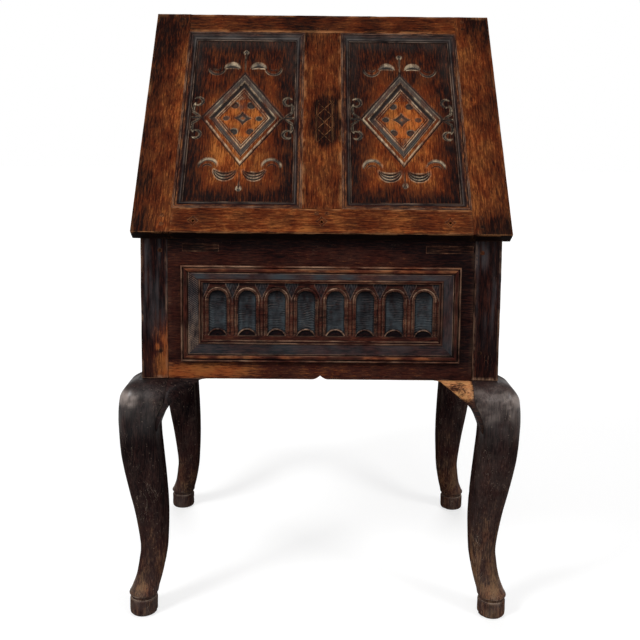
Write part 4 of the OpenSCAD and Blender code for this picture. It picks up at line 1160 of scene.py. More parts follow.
def line_cut(x, y, start, end, width, depth):
    """A straight gouge cut that is widest in its middle."""
    start, end = np.array(start, float), np.array(end, float)
    run = end - start
    length = np.linalg.norm(run)
    run /= length
    along = (x - start[0]) * run[0] + (y - start[1]) * run[1]
    away = np.abs((x - start[0]) * run[1] - (y - start[1]) * run[0])
    share = np.clip(along / length, 0, 1)
    half = width / 2 * np.sin(np.pi * share) ** 0.6 + 0.05
    return -depth * np.clip(1 - (away / half) ** 2, 0, 1) * ((along >= 0) & (along <= length))


def round_cut(x, y, centre, radius, depth):
    """A round sinking with a soft rim."""
    away = np.hypot(x - centre[0], y - centre[1]) / radius
    return -depth * (1 - smooth(away, 0.55, 1.0))


# Gouged arcs of the scrolls: centre, radius, first and last angle in degrees, width, depth
SCROLL_ARCS = [
    ((55, 119), 15, 190, 370, 4.5, 1.8), ((55, 122), 8, 180, 330, 3, 1.0),
    ((58, -110), 16, -10, 175, 6.5, 2.2), ((59, -114), 9, 5, 170, 3, 1.0),
    ((72, 22), 22, -35, 35, 4.5, 1.9), ((72, -22), 22, -35, 35, 4.5, 1.9),
    ((86, 38), 9, 40, 300, 5, 2.2), ((86, -38), 9, 60, 320, 5, 2.2)]

# Straight cuts beside the lozenge: start, end, width, depth
SIDE_LINES = [((74, 0), (100, 0), 5.5, 2.2), ((80, 3), (96, 14), 4.5, 1.8), ((80, -3), (96, -14), 4.5, 1.8)]

# Length of the stems over and under the lozenge of the left and of the right panel
LEFT_STEM = 165
RIGHT_STEM = 156


def stem_length(centre_x):
    """Length of the stems over and under a lozenge."""
    return LEFT_STEM if centre_x < 0 else RIGHT_STEM


def stem_lines(tip):
    """Straight cuts of the two stems and of the barbs at their tips, laid out like SIDE_LINES."""
    return [((-2, 100), (0, tip), 4.5, 1.8), ((-2, -104), (0, 2 - tip), 4.5, 1.8),
            ((2, tip - 12), (5, tip - 3), 3.0, 1.0), ((2, 14 - tip), (5, 5 - tip), 3.0, 1.0)]


def scrolls(x, y, tip):
    """Leaf scrolls above, below and beside the lozenge, the same on both halves (x is not negative)."""
    cuts = [sloped_moon_cut(x, y), ribbed_moon_cut(x, y)]
    cuts += [arc_cut(x, y, *arc) for arc in SCROLL_ARCS]
    cuts += [line_cut(x, y, *line) for line in SIDE_LINES + stem_lines(tip)]
    cuts += [round_cut(x, y, (0, end), 4.5, 1.8) for end in (tip - 4, 6 - tip)]
    return np.minimum.reduce(cuts)


def lozenge_middle(x, y):
    """Chip-cut star between four round sinkings and two leaves (x and y are not negative)."""
    sunk = -2.6 * (1 - smooth(np.hypot((x - 15.5) / 8.5, (y - 30.5) / 8.5), 0.6, 1.0))
    leaf = -1.9 * (1 - smooth(np.hypot((x - 31) / 8.0, y / 6.5), 0.55, 1.0))
    star = (x / 19.5) ** 0.75 + (y / 17.5) ** 0.75
    cut = -2.2 * smooth(1 - star, 0.0, 0.16)
    cut += 1.7 * (1 - smooth(x / 10 + y / 9.5, 0.25, 1.0))
    rim = 0.5 * hump(star, 1.08, 0.14)
    dots = -0.8 * smooth(np.cos(x * 1.25) * np.cos(y * 1.1), 0.2, 0.6) * smooth(y, 41, 44)
    return np.minimum.reduce([sunk, leaf, cut, dots]) + rim


def lozenge_share(across, up):
    """0 in the middle of a lozenge, 1 on its outer edge."""
    return np.abs(across) / LOZENGE_HALF[0] + np.abs(up) / LOZENGE_HALF[1]


def lozenge_place(centre_x, x, v):
    """Place across and up from the middle of a lozenge, and distance inside its outer edge."""
    across, up = x - centre_x, v - LOZENGE_UP
    return across, up, (1 - lozenge_share(across, up)) * LOZENGE_RUN


def panel_carving(centre_x, seed):
    """Height of one carved panel's face over its flat ground."""
    def height(x, v):
        across, up = x - centre_x, v - LOZENGE_UP
        hand = on_face(x, v)
        across = across + 0.7 * noise(hand, 19, seed) + 0.25 * noise(hand, 6, seed + 1)
        up = up + 0.7 * noise(hand, 21, seed + 2)
        share = lozenge_share(across, up)
        inside = (1 - share) * LOZENGE_RUN
        cut = np.interp(inside, LOZENGE_PROFILE[:, 0], LOZENGE_PROFILE[:, 1])
        middle = inside > LOZENGE_FIELD
        cut[middle] += lozenge_middle(np.abs(across[middle]), np.abs(up[middle]))
        outside = share > 0.98
        strokes = scrolls(np.abs(across[outside]), up[outside], stem_length(centre_x))
        cut[outside] = np.minimum(cut[outside], strokes)
        rough = 0.16 * noise(hand, (2.6, 9, 1), seed + 3) + 0.28 * noise(hand, (14, 60, 1), seed + 4)
        bold = 1 + 0.25 * noise(hand, 28, seed + 5)
        return np.minimum(cut * bold + rough - 0.2, 0.35)
    return height


def panel_dirt_and_shade(centre_x):
    """Black wax in the deep cuts, with painted shade in the lozenge's channel, most of all in its upper
    half, and in its outer groove, most of all in its lower half.
    """
    def hollow(x, v, cut):
        up, inside = lozenge_place(centre_x, x, v)[1:]
        channel = hump(inside, 14.5, 6.5) * smooth(up, -14, 6) * 0.9
        groove = hump(inside, -1.2, 3.0) * (0.85 - 0.35 * smooth(up, -10, 20))
        deep = 0.75 * smooth(-cut, 2.0, 3.6) * (inside < -4)
        middle = 0.6 * smooth(-cut, 1.6, 3.2) * (inside > LOZENGE_FIELD)
        return np.maximum.reduce([channel, groove, deep, middle])
    return hollow


def panel_dust_and_sheen(centre_x):
    """Grey dust and painted sheen in the channel, on the upper outer band and in the cuts round the
    lozenge.
    """
    def bloom_and_sheen(x, v, cut):
        up, inside = lozenge_place(centre_x, x, v)[1:]
        channel = between(inside, (10.6, 12.4), (18.2, 20.0))
        band = between(inside, (-3.0, -1.0), (9.0, 10.5)) * smooth(up, -4, 22) * 0.85
        middle = smooth(-cut, 1.5, 2.4) * (inside > LOZENGE_FIELD) * 0.9
        strokes = smooth(-cut, 0.8, 2.0) * (inside < -4)
        away = panel_edge(np.stack([x, v], 1)) - BEAD_WIDTH
        dusty = 0.16 * (1 - smooth(away, 4, 30)) * smooth(v, 300, 410)
        return np.maximum.reduce([channel, band, middle, strokes, dusty])
    return bloom_and_sheen


def panel_light(centre_x, seed):
    """Pale lines, partly rubbed wear and partly painted highlights: ridges of the lozenge, uneven from side
    to side, and edges of the crescents.
    """
    left = centre_x < 0

    def bare(x, v, cut):
        across, up, inside = lozenge_place(centre_x, x, v)
        hand = on_face(x, v)
        broken = np.clip(mottle(hand, 0.75, (0.75, (9, 12, 1)), (0.3, 3.0), seed), 0, 1.2)
        # painted highlights: the outer ridge is paler in the lower half, most on one side, and the rim
        # paler in the upper half
        low, right = 1 - smooth(up, -8, 8), smooth(across, -8, 8)
        painted_highlight = right if left else 1 - right
        outer = hump(inside, 1.9, 2.5) * (0.36 + low * (0.55 + 0.95 * painted_highlight))
        rim = hump(inside, 10.2, 1.8) * (0.60 + 0.7 * (1 - low) * (1 - 0.4 * right))
        inner = hump(inside, 20.5, 1.8) * 0.95 + hump(inside, 24.6, 1.5) * 0.6

        # edges and ribs of the crescents, with a painted highlight on the sloping band of the upper
        # crescent
        side = np.abs(across)
        arc, gap = in_moon(side, up, UPPER_MOON)
        share = moon_share(arc, gap)
        moons = 0.62 * between(share, (0.02, 0.14), (0.42, 0.58)) * (arc > 0) * (gap > 0)
        moons += hump(gap, -1.5, 1.9) * (arc > 3.0) * 0.9
        arc, gap = in_moon(side, up, LOWER_MOON)
        moons += 0.8 * smooth(moon_ribs(arc, gap), 0.55, 1.0) * (arc > 1.5) * (gap > 1.5)
        moons += 0.55 * (hump(arc, -1.0, 1.5) * (gap > 0) + hump(gap, -1.0, 1.5) * (arc > 0))

        # crests of the lower and upper arms, then edges of the strokes beside the lozenge and of the stems,
        # pale both from wear and as painted highlights
        arms = 0.9 * hump(np.hypot(side - 58, up + 110) - 17.5, 0, 3.0) * smooth(up, -114, -102)
        arms += 0.6 * hump(np.hypot(side - 55, up - 119) - 16.5, 0, 1.8) * (1 - smooth(up, 108, 121))
        stroke = -scrolls(side, up, stem_length(centre_x))
        edge = between(stroke, (0.1, 0.5), (1.0, 1.7))
        ends = edge * (side > 70) * (np.abs(up) < 70) * 0.8
        stem = edge * (side < 9) * (0.25 + 0.75 * smooth(np.abs(up), 140, 152))
        middle = (inside > LOZENGE_FIELD) * between(-cut, (2.0, 2.2), (2.5, 2.9)) * 0.5
        lines = np.where(inside > -0.5, outer + rim + inner + middle, moons + arms + ends + stem)
        return np.clip(lines * broken, 0, 1)
    return bare


def make_lid_panels():
    """The two carved panels of the lid, each with its own unevenness."""
    for side_name, side in SIDES.items():
        low, high = corners("lid_panel_" + side_name, to_lid)
        centre_x = side * (OPEN_IN + OPEN_OUT) / 2
        carving = panel_carving(centre_x, 71 + side * 9)
        panel = relief_board(f"lid_panel_{side_name}_wood", low, high, 1, carving, on_lid, 1.2, panel_tone,
                             panel_dirt_and_shade(centre_x), panel_dust_and_sheen(centre_x),
                             panel_light(centre_x, 76 + side * 9))
        fit(panel, PANEL_OAK, "lid")


def bead_section(width, drop):
    """Section of the panel moulding: outer arris, hollow, bead and thin inner line."""
    return [(0, 0), (0, drop), (3.2, drop), (4.2, drop - 1.4), (width * 0.45, drop - 2.4),
            (width * 0.66, drop - 4.2), (width * 0.76, drop - 4.4), (width * 0.84, drop - 5.4),
            (width * 0.88, drop - 6.4), (width - 0.8, drop - 6.4), (width, drop - 7), (width, 0)]


def make_lid_mouldings():
    """Four mitred strips round each panel."""
    section = bead_section(BEAD_WIDTH, LID_THICK - PANEL_FACE)
    for side_name, side in SIDES.items():
        inner, outer = side * OPEN_IN, side * OPEN_OUT
        strips = {"bottom": ((inner, OPEN_LOW), (outer, OPEN_LOW), (0, 1)),
                  "top": ((inner, OPEN_HIGH), (outer, OPEN_HIGH), (0, -1)),
                  "outer": ((outer, OPEN_LOW), (outer, OPEN_HIGH), (-side, 0)),
                  "inner": ((inner, OPEN_LOW), (inner, OPEN_HIGH), (side, 0))}
        for edge, (start, end, inward) in strips.items():
            strip = moulding(f"lid_moulding_{side_name}_{edge}_wood", start, end, inward, section,
                             (BEAD_WIDTH, BEAD_WIDTH), on_lid, PANEL_FACE, lid_moulding_tone,
                             bloom_and_sheen=lid_moulding_bloom)
            fit(strip, MOULDING_OAK, "lid")


# ---------- pegs ----------

# Head of a peg: height over the face, and share of the peg's radius
PEG_HEAD = [(-2, 1.0), (0.05, 1.0), (0.25, 0.9), (0.3, 0.5), (0.32, 0.15)]


def peg_rings(low, high, axis, sign, seed):
    """Rings of one whittled oak peg whose head stands just proud on one side."""
    flat = [k for k in range(3) if k != axis]
    centre = (low + high) / 2
    radius = (high - low)[flat].min() / 2
    face = high[axis] if sign > 0 else low[axis]
    root = low[axis] if sign > 0 else high[axis]
    turns = np.linspace(0, 2 * np.pi, 25)[:-1]
    uneven = 1 + 0.07 * np.cos(turns * 3 + seed) + 0.05 * np.cos(turns * 5 + 2 * seed)
    rings = []
    for place, share in [(root, 0.92)] + [(face + sign * proud, share) for proud, share in PEG_HEAD]:
        ring = np.zeros((len(turns), 3))
        ring[:, flat[0]] = centre[flat[0]] + radius * share * uneven * np.cos(turns)
        ring[:, flat[1]] = centre[flat[1]] + radius * share * uneven * np.sin(turns)
        ring[:, axis] = place
        rings.append(ring)
    return rings


def make_pegs(body, to_setting, place, tone):
    """All pegs of one body as one piece of separate solids."""
    points, quads, rings, count = [], [], [], 0
    for k, (low, high) in enumerate(separate_solids(body + "_pegs", to_setting)):
        axis = int(np.argmax(high - low))
        outward = 1 if (low + high)[axis] > 0 else -1
        pegs, sides, ends = loft_mesh(peg_rings(low, high, axis, outward, k))
        if signed_volume(pegs - pegs.mean(0), sides) < 0:
            sides, ends = sides[:, ::-1], [ring[::-1] for ring in ends]
        points.append(pegs)
        quads.append(sides + count)
        rings += [ring + count for ring in ends]
        count += len(pegs)
    points, quads = np.concatenate(points), np.concatenate(quads)
    quiet = np.full(len(points), 0.8)
    piece = make_piece(body + "_pegs_wood", points, quads, rings, place, 2, tone, quiet=quiet)
    fit(piece, PEG_OAK, body)


# ---------- case ----------

def under_slope(top):
    """Presses the upper part of a piece down so that its top lies just under the lid."""
    def shape(points):
        share = np.clip((points[:, 2] - SLOPE_CUT_FROM) / (top - SLOPE_CUT_FROM), 0, 1)
        drop = top - (slope_height(points[:, 1]) - SLOPE_SEAT)
        moved = points.copy()
        moved[:, 2] -= drop * share
        return moved
    return shape


def post_calm(points):
    """The posts are rubbed most along their lower ends."""
    return np.where(points[:, 2] < LEG_TOP + RUBBED_FOOT, -0.5, 0.55)


def make_posts():
    """The four corner posts, the front ones cut to the slope."""
    for side_name in SIDES:
        for end_name, end in ENDS.items():
            low, high = corners(f"post_{end_name}_{side_name}")
            shape = under_slope(high[2]) if end < 0 else None
            post = board(f"post_{end_name}_{side_name}_wood", low, high, 2, radius=1.6, step=4.0, wear=0.7,
                         shape=shape, tone=post_tone, bloom_and_sheen=post_bloom, calm=post_calm)
            fit(post, CASE_OAK, "case")


# Front board: its opening, its notch, from where it is cut to the slope, and its repairs
CARVED_LOW, CARVED_HIGH = corners("carved_front_panel", to_front)
NOTCH_HALF = 15.0
NOTCH_HEIGHT = 7.0
NOTCH_FADE = 30.0
FRONT_CUT_FROM = 650.0
PATCH_PROUD = 0.3
PATCH_RIM = 1.5


def front_board_shape(top, low):
    """Cuts the upper edge to the slope and the small pointed notch into the lower one."""
    def shape(points):
        moved = points.copy()
        share = np.clip((points[:, 1] - FRONT_CUT_FROM) / (top - FRONT_CUT_FROM), 0, 1)
        share = smooth(points[:, 1], FRONT_CUT_FROM, FRONT_CUT_FROM + 40) * share
        moved[:, 1] -= share * (top - slope_height(-points[:, 2]) + SLOPE_SEAT)
        side = np.clip(1 - np.abs(points[:, 0]) / NOTCH_HALF, 0, 1)
        fade = 1 - smooth(points[:, 1], low, low + NOTCH_FADE)
        moved[:, 1] += NOTCH_HEIGHT * side ** 2 * fade
        return moved
    return shape


def patch_tone(low, high):
    """A repair as dark as its board, with pale glue lines round it."""
    def tone(points):
        away = np.minimum(points[:, :2] - low[:2], high[:2] - points[:, :2]).min(1)
        line = (1 - smooth(away, 0.9, PATCH_RIM)) * (0.7 + 0.5 * noise(points, 14, 103))
        return mottle(points, 0.12, (0.18, 16), (0.10, 6), 101) + 0.75 * line
    return tone


def make_front():
    """The front board round its opening for the carved panel, and its two repairs."""
    low, high = corners("front_board", to_front)
    low[0], high[0] = -INNER_X, INNER_X
    # lines close together over the notch, and one along each side of the opening
    beside = np.arange(-NOTCH_HALF - 3, NOTCH_HALF + 3.5, 1.5)
    above = low[1] + np.arange(0, 2 * NOTCH_HEIGHT, 1.5)
    marks = ([*beside, CARVED_LOW[0], CARVED_HIGH[0]], [*above, CARVED_LOW[1], CARVED_HIGH[1]], ())

    def keep(x, z, out):
        return (x < CARVED_LOW[0]) | (x > CARVED_HIGH[0]) | (z < CARVED_LOW[1]) | (z > CARVED_HIGH[1])

    piece = board("front_board_wood", low, high, 0, on_front, [[JOINT_R, 1.5, 0.8], [JOINT_R, 0.8, 0.8]],
                  step=5.0, marks=marks, keep=keep, tone=front_tone,
                  shape=front_board_shape(high[1], low[1]),
                  calm=lambda base: np.where(base[:, 1] < low[1] + RUBBED_FOOT, -0.5, 0.3))
    fit(piece, CASE_OAK, "case")
    for side_name in SIDES:
        low, high = corners("patch_" + side_name, to_front)
        high[2] += PATCH_PROUD
        rims = tuple([low[k] + PATCH_RIM, high[k] - PATCH_RIM] for k in (0, 1)) + ((),)
        piece = board(f"patch_{side_name}_wood", low, high, 0, on_front, 0.5, step=3.0, marks=rims,
                      wear=0.12, tone=patch_tone(low, high))
        fit(piece, PATCH_OAK, "case")


# Front moulding, and the field inside it
MOULD_LOW, MOULD_HIGH = corners("front_moulding_bottom", to_front)
MOULD_TOP_LOW, MOULD_TOP_HIGH = corners("front_moulding_top", to_front)
FIELD_X = corners("front_moulding_right", to_front)[0][0]
FIELD_LOW = MOULD_HIGH[1]
FIELD_HIGH = MOULD_TOP_LOW[1]
FRONT_FACE = MOULD_LOW[2]

# Arches, and the height at which their round heads spring
ARCH_COUNT = 8
ARCH_HALF = 17.0
ARCH_DEPTH = 5.0
ARCH_FOOT = FIELD_LOW + 8.4
ARCH_TOP = FIELD_HIGH - 12.8
ARCH_PITCH = 2 * FIELD_X / ARCH_COUNT
SPRING = ARCH_TOP - ARCH_HALF

# Hump at the foot of each hollow, and ripples in the hollow
HUMP_HIGH = 12.0
HUMP_R = (ARCH_HALF ** 2 + HUMP_HIGH ** 2) / (2 * HUMP_HIGH)
HUMP_RIM = 0.9
HUMP_DEEP = 2.5
RIPPLE_STEP = 4.3
RIPPLE_DEEP = 0.38

# Bead round each hollow, reeds between them, leaf over each pillar, ticks across the reeds
ARCH_BEAD_OUT = 2.3
ARCH_BEAD_HALF = 2.2
ARCH_BEAD_DEEP = 1.5
REED_HALF = 3.6
REED_DEEP = 1.3
LEAF_HALF = 11.5
LEAF_LENGTH = 27
LEAF_CUT = 1.2
TICK_UP = 4.5
TICK_DEEP = 0.6


def arch_place(x, z):
    """Distance across from the middle of the nearest arch, and out from the edge of its hollow."""
    cell = np.clip(np.round(x / ARCH_PITCH - 0.5), -ARCH_COUNT / 2, ARCH_COUNT / 2 - 1)
    hand = on_face(x, z)
    u = x - (cell + 0.5) * ARCH_PITCH + 0.35 * noise(hand, 16, 111)
    return u, np.where(z > SPRING, np.hypot(u, z - SPRING), np.abs(u)) - ARCH_HALF


def inside_hump(u, z):
    """Distance inside the round hump that stands in the foot of each hollow."""
    return HUMP_R - np.hypot(u, z - (ARCH_FOOT + HUMP_HIGH - HUMP_R))


def from_pillar(u):
    """Distance across from the middle of the pillar between two arches."""
    return np.abs(np.abs(u) - ARCH_PITCH / 2)


def in_leaf(u, z, arch):
    """How far a place lies inside the pointed leaf above each pillar."""
    drop = np.clip((ARCH_TOP + 8.0 - z) / LEAF_LENGTH, 0, 1)
    return np.minimum(LEAF_HALF * (1 - drop) ** 1.4 - from_pillar(u), arch - 5.4)


def arcade(x, z):
    """Height of the carved front: eight hollow arches between reeds, with humps at their feet."""
    hand = on_face(x, z)
    u, arch = arch_place(x, z)
    above_foot = smooth(z, ARCH_FOOT - 1.0, ARCH_FOOT + 0.6)

    # rounded bead round each hollow, and three reeds between the hollows
    bead = np.sqrt(np.clip(1 - ((arch - ARCH_BEAD_OUT) / ARCH_BEAD_HALF) ** 2, 0, 1))
    cut = -ARCH_BEAD_DEEP * (1 - bead) * above_foot * (arch < 5.6)
    reed = np.sqrt(np.clip(1 - (from_pillar(u) / REED_HALF) ** 2, 0, 1))
    pillar = (arch >= 5.1) & (z < SPRING + 6)
    cut = np.where(pillar, -REED_DEEP * (1 - reed) * above_foot, cut)

    # scooped hollow with the ripples of the gouge
    scoop = ARCH_DEPTH * (0.72 + 0.28 * np.clip(1 - (u / ARCH_HALF) ** 2, 0, 1))
    lines = z + 2.2 * noise(hand, (8, 24, 1), 112)
    ripple = RIPPLE_DEEP * np.cos(2 * np.pi * lines / RIPPLE_STEP) * (0.5 + 0.5 * noise(hand, 13, 116))
    inside = -arch
    hollow = (-scoop + ripple) * smooth(inside, 0.0, 1.8)

    # hump with a thin standing rim, like two claws at the foot
    in_hump = inside_hump(u, z)
    rim = 1 - smooth(np.abs(in_hump - HUMP_RIM), 0.5, 1.3)
    dome = np.where(in_hump > HUMP_RIM, -HUMP_DEEP + 0.7 * smooth(in_hump, 2, 7), hollow)
    dome = dome + (-0.2 - dome) * rim
    hollow = np.where(in_hump > -0.4, dome, hollow)
    cut = np.where((inside > 0) & (z > ARCH_FOOT), hollow, cut)

    # pointed leaf cut over each pillar, with a vein and veins to the sides
    leaf = in_leaf(u, z, arch)
    veins = 0.5 + 0.5 * np.cos(2 * np.pi * (from_pillar(u) * 1.2 + (z - ARCH_TOP) * 0.35) / 5.5)
    leaf_cut = -LEAF_CUT * smooth(leaf, 0.0, 1.6) + 0.35 * veins * smooth(leaf, 1.0, 2.6)
    cut = np.where((leaf > 0) & (z > SPRING - 6), leaf_cut, cut)

    # small ticks across the reeds at the bottom
    tick = 1 - smooth(np.abs(z - (ARCH_FOOT + TICK_UP)), 0.3, 1.0)
    cut -= TICK_DEEP * tick * (arch > 0.4) * (z < SPRING)
    return np.minimum(cut + 0.12 * noise(hand, 3.0, 113) - 0.12, 0.2)


def arcade_hollow(x, z, cut):
    """Darker at the heads and feet of the arches, inside the humps and between the reeds."""
    u, arch = arch_place(x, z)
    corner = smooth(-cut, 0.9, 1.5) * (arch > 0) * 0.9
    head = smooth(-arch, 0.5, 3) * smooth(z, SPRING - 4, ARCH_TOP - 4) * 0.7
    foot = smooth(inside_hump(u, z), 1.8, 2.6) * (arch < 0) * (z > ARCH_FOOT) * 0.75
    under = (1 - smooth(np.abs(z - ARCH_FOOT + 0.2), 0.8, 1.8)) * (np.abs(u) < ARCH_HALF - 1)
    return np.maximum.reduce([corner, head, foot, under])


def arcade_dust_and_sheen(x, z, cut):
    """Grey dust and painted sheen in the hollows, brightest near their sides and feet, and in the leaves.
    """
    hand = on_face(x, z)
    u, arch = arch_place(x, z)
    sides = smooth(np.abs(u), 6, 14)
    low = 1 - smooth(z, ARCH_FOOT + 15, ARCH_TOP - 12)
    smudge = noise(hand, (6, 15, 1), 117) + 0.6 * noise(hand, (3, 5, 1), 118)
    hollow = (0.42 + 0.34 * sides + 0.30 * low + 0.30 * smudge) * smooth(-arch, 0.6, 2)
    hollow = hollow * (inside_hump(u, z) < 0.2) * (z > ARCH_FOOT)
    leaf = (0.5 + 0.3 * smudge) * smooth(in_leaf(u, z, arch), -0.8, 0.4) * (z > SPRING - 6)
    return np.maximum(hollow, leaf)


def arcade_light(x, z, cut):
    """Pale lines, partly rubbed wear and partly painted highlights: outer edges of the arch heads, claws at
    the feet, reeds and leaves.
    """
    hand = on_face(x, z)
    u, arch = arch_place(x, z)
    broken = np.clip(mottle(hand, 0.8, (0.8, 9), (0.3, 3.0), 119), 0, 1.3)
    head = smooth(z, SPRING - 8, SPRING + 3)
    # the bead is paler over the arch heads, as a painted highlight
    bead = hump(arch, 3.9, 1.5) * (0.3 + 0.7 * head) + hump(arch, 0.7, 1.1) * (0.15 + 0.2 * head)
    bead *= (z > ARCH_FOOT) * (z < ARCH_TOP + 5)
    claws = 0.9 * hump(inside_hump(u, z), HUMP_RIM, 1.5) * (arch < 0) * (z > ARCH_FOOT)
    reeds = 0.22 * hump(from_pillar(u), 0.0, 1.6) * (1 - head) * (z > ARCH_FOOT)
    leaf = 0.35 * hump(in_leaf(u, z, arch), 0.2, 1.1) * (z > SPRING - 6)
    return np.clip(np.maximum.reduce([bead, claws, reeds, leaf]) * broken, 0, 1)


def arcade_tone(points):
    """Tone of the carved front, black in the hollows and along its upper edge."""
    tone = mottle(points, 0.28, (0.16, 30), (0.10, 8), 114)
    tone -= 0.6 * (points[:, 2] < FRONT_FACE - 1.9)
    return tone - 0.25 * smooth(points[:, 1], FIELD_HIGH - 6, FIELD_HIGH - 1)


def frame_section(width, proud):
    """Section of the front moulding: thin fillet, bead, groove, slanting band and inner fillet."""
    turns = np.radians(180 - np.arange(0, 181, 18))
    round_r, flat_r = 3.5, 3.5 * 0.7
    bead = [(4.4 + round_r + round_r * math.cos(a), proud - flat_r + flat_r * math.sin(a)) for a in turns]
    return [(0, 0), (0, proud - 1.6), (0.6, proud - 0.9), (2.2, proud - 0.9), (3.0, proud - 2.6),
            (4.0, proud - 3.2)] + bead + [
        (11.7, proud - 4.0), (12.6, proud - 4.0), (13.2, proud - 2.2), (width - 7, proud - 4.0),
        (width - 6.2, proud - 3.2), (width - 4.4, proud - 3.2), (width - 3.6, proud - 5.2),
        (width - 0.8, proud - 5.6), (width, proud - 6.8), (width, 0)]


def mould_tone(level, bead, seed):
    """Tone of one strip of the front moulding, and how much lighter its bead is."""
    def tone(points):
        rim = smooth(points[:, 2], MOULD_HIGH[2] - 1.6, MOULD_HIGH[2] - 0.5)
        rubbed = bead * rim * (0.75 + 0.8 * noise(points, 16, seed + 2))
        return mottle(points, level + rubbed, (0.14, 38), (0.12, 10), seed)
    return tone


# Finish of the front moulding's strips: tone, how much lighter the bead is, grey dust and painted sheen,
# depth of tool marks
MOULD_FINISH = {"bottom": (0.18, 0.52, 0.4, 0.0), "top": (0.46, 0.26, 0.75, 0.0),
                "left": (0.20, 0.18, 0.75, 0.5), "right": (0.14, 0.14, 0.45, 0.0)}
# Band of each strip with grey dust and painted sheen: where it starts in from the outer edge, and how far
# short of the inner edge it ends
MOULD_DUST_AND_SHEEN_FROM = 12.6
MOULD_DUST_AND_SHEEN_EDGE = 6.5


def make_carved_front():
    """The arcade let into the front board, and the four mitred strips round it."""
    panel = relief_board("carved_front_wood", CARVED_LOW, CARVED_HIGH, 0, arcade, on_front, 1.15,
                         arcade_tone, arcade_hollow, arcade_dust_and_sheen, arcade_light)
    fit(panel, CARVED_OAK, "case", "carved_front_panel")
    wide, high, low = MOULD_HIGH[0], MOULD_TOP_HIGH[1], MOULD_LOW[1]
    side_w, top_w, bottom_w = wide - FIELD_X, high - FIELD_HIGH, FIELD_LOW - low
    proud = MOULD_HIGH[2] - FRONT_FACE
    strips = {"bottom": ((-wide, low), (wide, low), (0, 1), bottom_w, (side_w, side_w)),
              "top": ((-wide, high), (wide, high), (0, -1), top_w, (side_w, side_w)),
              "left": ((-wide, low), (-wide, high), (1, 0), side_w, (bottom_w, top_w)),
              "right": ((wide, low), (wide, high), (-1, 0), side_w, (bottom_w, top_w))}
    for edge, (start, end, inward, width, mitres) in strips.items():
        level, bead, dust_and_sheen, chatter = MOULD_FINISH[edge]
        strip = moulding(f"front_moulding_{edge}_wood", start, end, inward, frame_section(width, proud),
                         mitres, on_front, FRONT_FACE, mould_tone(level, bead, 121 + len(edge)),
                         dull=(MOULD_DUST_AND_SHEEN_FROM, width - MOULD_DUST_AND_SHEEN_EDGE, dust_and_sheen), chatter=chatter)
        fit(strip, CARVED_OAK, "case")


def upper_side_shape(low, high):
    """Narrows the upper side board from the front, along the slope."""
    def shape(points):
        moved = points.copy()
        front = np.maximum(low[1], slope_depth(points[:, 2]) + SLOPE_SEAT)
        share = (high[1] - points[:, 1]) / (high[1] - low[1])
        moved[:, 1] = high[1] - share * (high[1] - front)
        return moved
    return shape


def make_sides():
    """A lower and an upper board on each side."""
    for side_name in SIDES:
        for level in ("lower", "upper"):
            low, high = corners(f"side_{level}_{side_name}")
            low[1], high[1] = -INNER_Y, INNER_Y
            shape = upper_side_shape(low, high) if level == "upper" else None
            piece = board(f"side_{level}_{side_name}_wood", low, high, 1, radius=[[0.8, JOINT_R, 0.8]] * 2,
                          shape=shape, wear=0.5, tone=plain_tone(0.34, 131), calm=0.6)
            fit(piece, CASE_OAK, "case")


def make_back_and_bottom():
    """Three back boards, the bottom board and the ledgers under it."""
    for level in ("lower", "middle", "upper"):
        low, high = corners("back_board_" + level)
        low[0], high[0] = -INNER_X, INNER_X
        piece = board(f"back_board_{level}_wood", low, high, 0, radius=[[JOINT_R, 0.8, 0.8]] * 2, step=8.0,
                      wear=0.6, tone=plain_tone(0.3, 141), calm=0.5)
        fit(piece, INSIDE_OAK, "case")
    low, high = corners("bottom_board")
    low[1], high[1] = -INNER_Y + 0.2, INNER_Y - 0.2
    piece = board("bottom_board_wood", low, high, 0, radius=0.8, step=9.0, wear=0.5,
                  tone=plain_tone(0.3, 151))
    fit(piece, INSIDE_OAK, "case")
    for end_name in ENDS:
        low, high = corners("bottom_ledger_" + end_name)
        piece = board(f"bottom_ledger_{end_name}_wood", low, high, 0, radius=1.0, wear=0.4,
                      tone=plain_tone(0.3, 161))
        fit(piece, INSIDE_OAK, "case")


def make_top():
    """The top board, bevelled to the slope and cut out for the case leaves of the hinges."""
    low, high = corners("top_board")
    bevel = slope_depth(high[2]) - slope_depth(low[2])
    low[1] = slope_depth(low[2]) + SLOPE_SEAT / LID_AXES[1, 2]
    leaf_foot = corners("hinge_right_case_leaf")[0][2] - HINGE_PLAY
    pocket = low[1] + HINGE_DEEP / LID_AXES[1, 2]
    seat, reach = high[2] - BARREL_DEEP, low[1] + BARREL_REACH

    def keep(x, y, z):
        leaf = (z > leaf_foot) & (y < pocket)
        barrel = (z > seat) & (y < reach)
        return ~(in_hinge(x) & (leaf | barrel))

    def shape(points):
        moved = points.copy()
        up = (points[:, 2] - low[2]) / (high[2] - low[2])
        moved[:, 1] += bevel * up * (1 - smooth(points[:, 1], low[1] + 15, low[1] + 60))
        return moved

    piece = board("top_board_wood", low, high, 0, radius=[[1.6, 0.6, 1.2], [1.6, 1.6, 1.6]],
                  marks=(HINGE_ENDS, (pocket, reach), (leaf_foot, seat)), keep=keep, shape=shape, wear=0.5,
                  tone=plain_tone(0.36, 171))
    fit(piece, CASE_OAK, "case")


# ---------- stand ----------

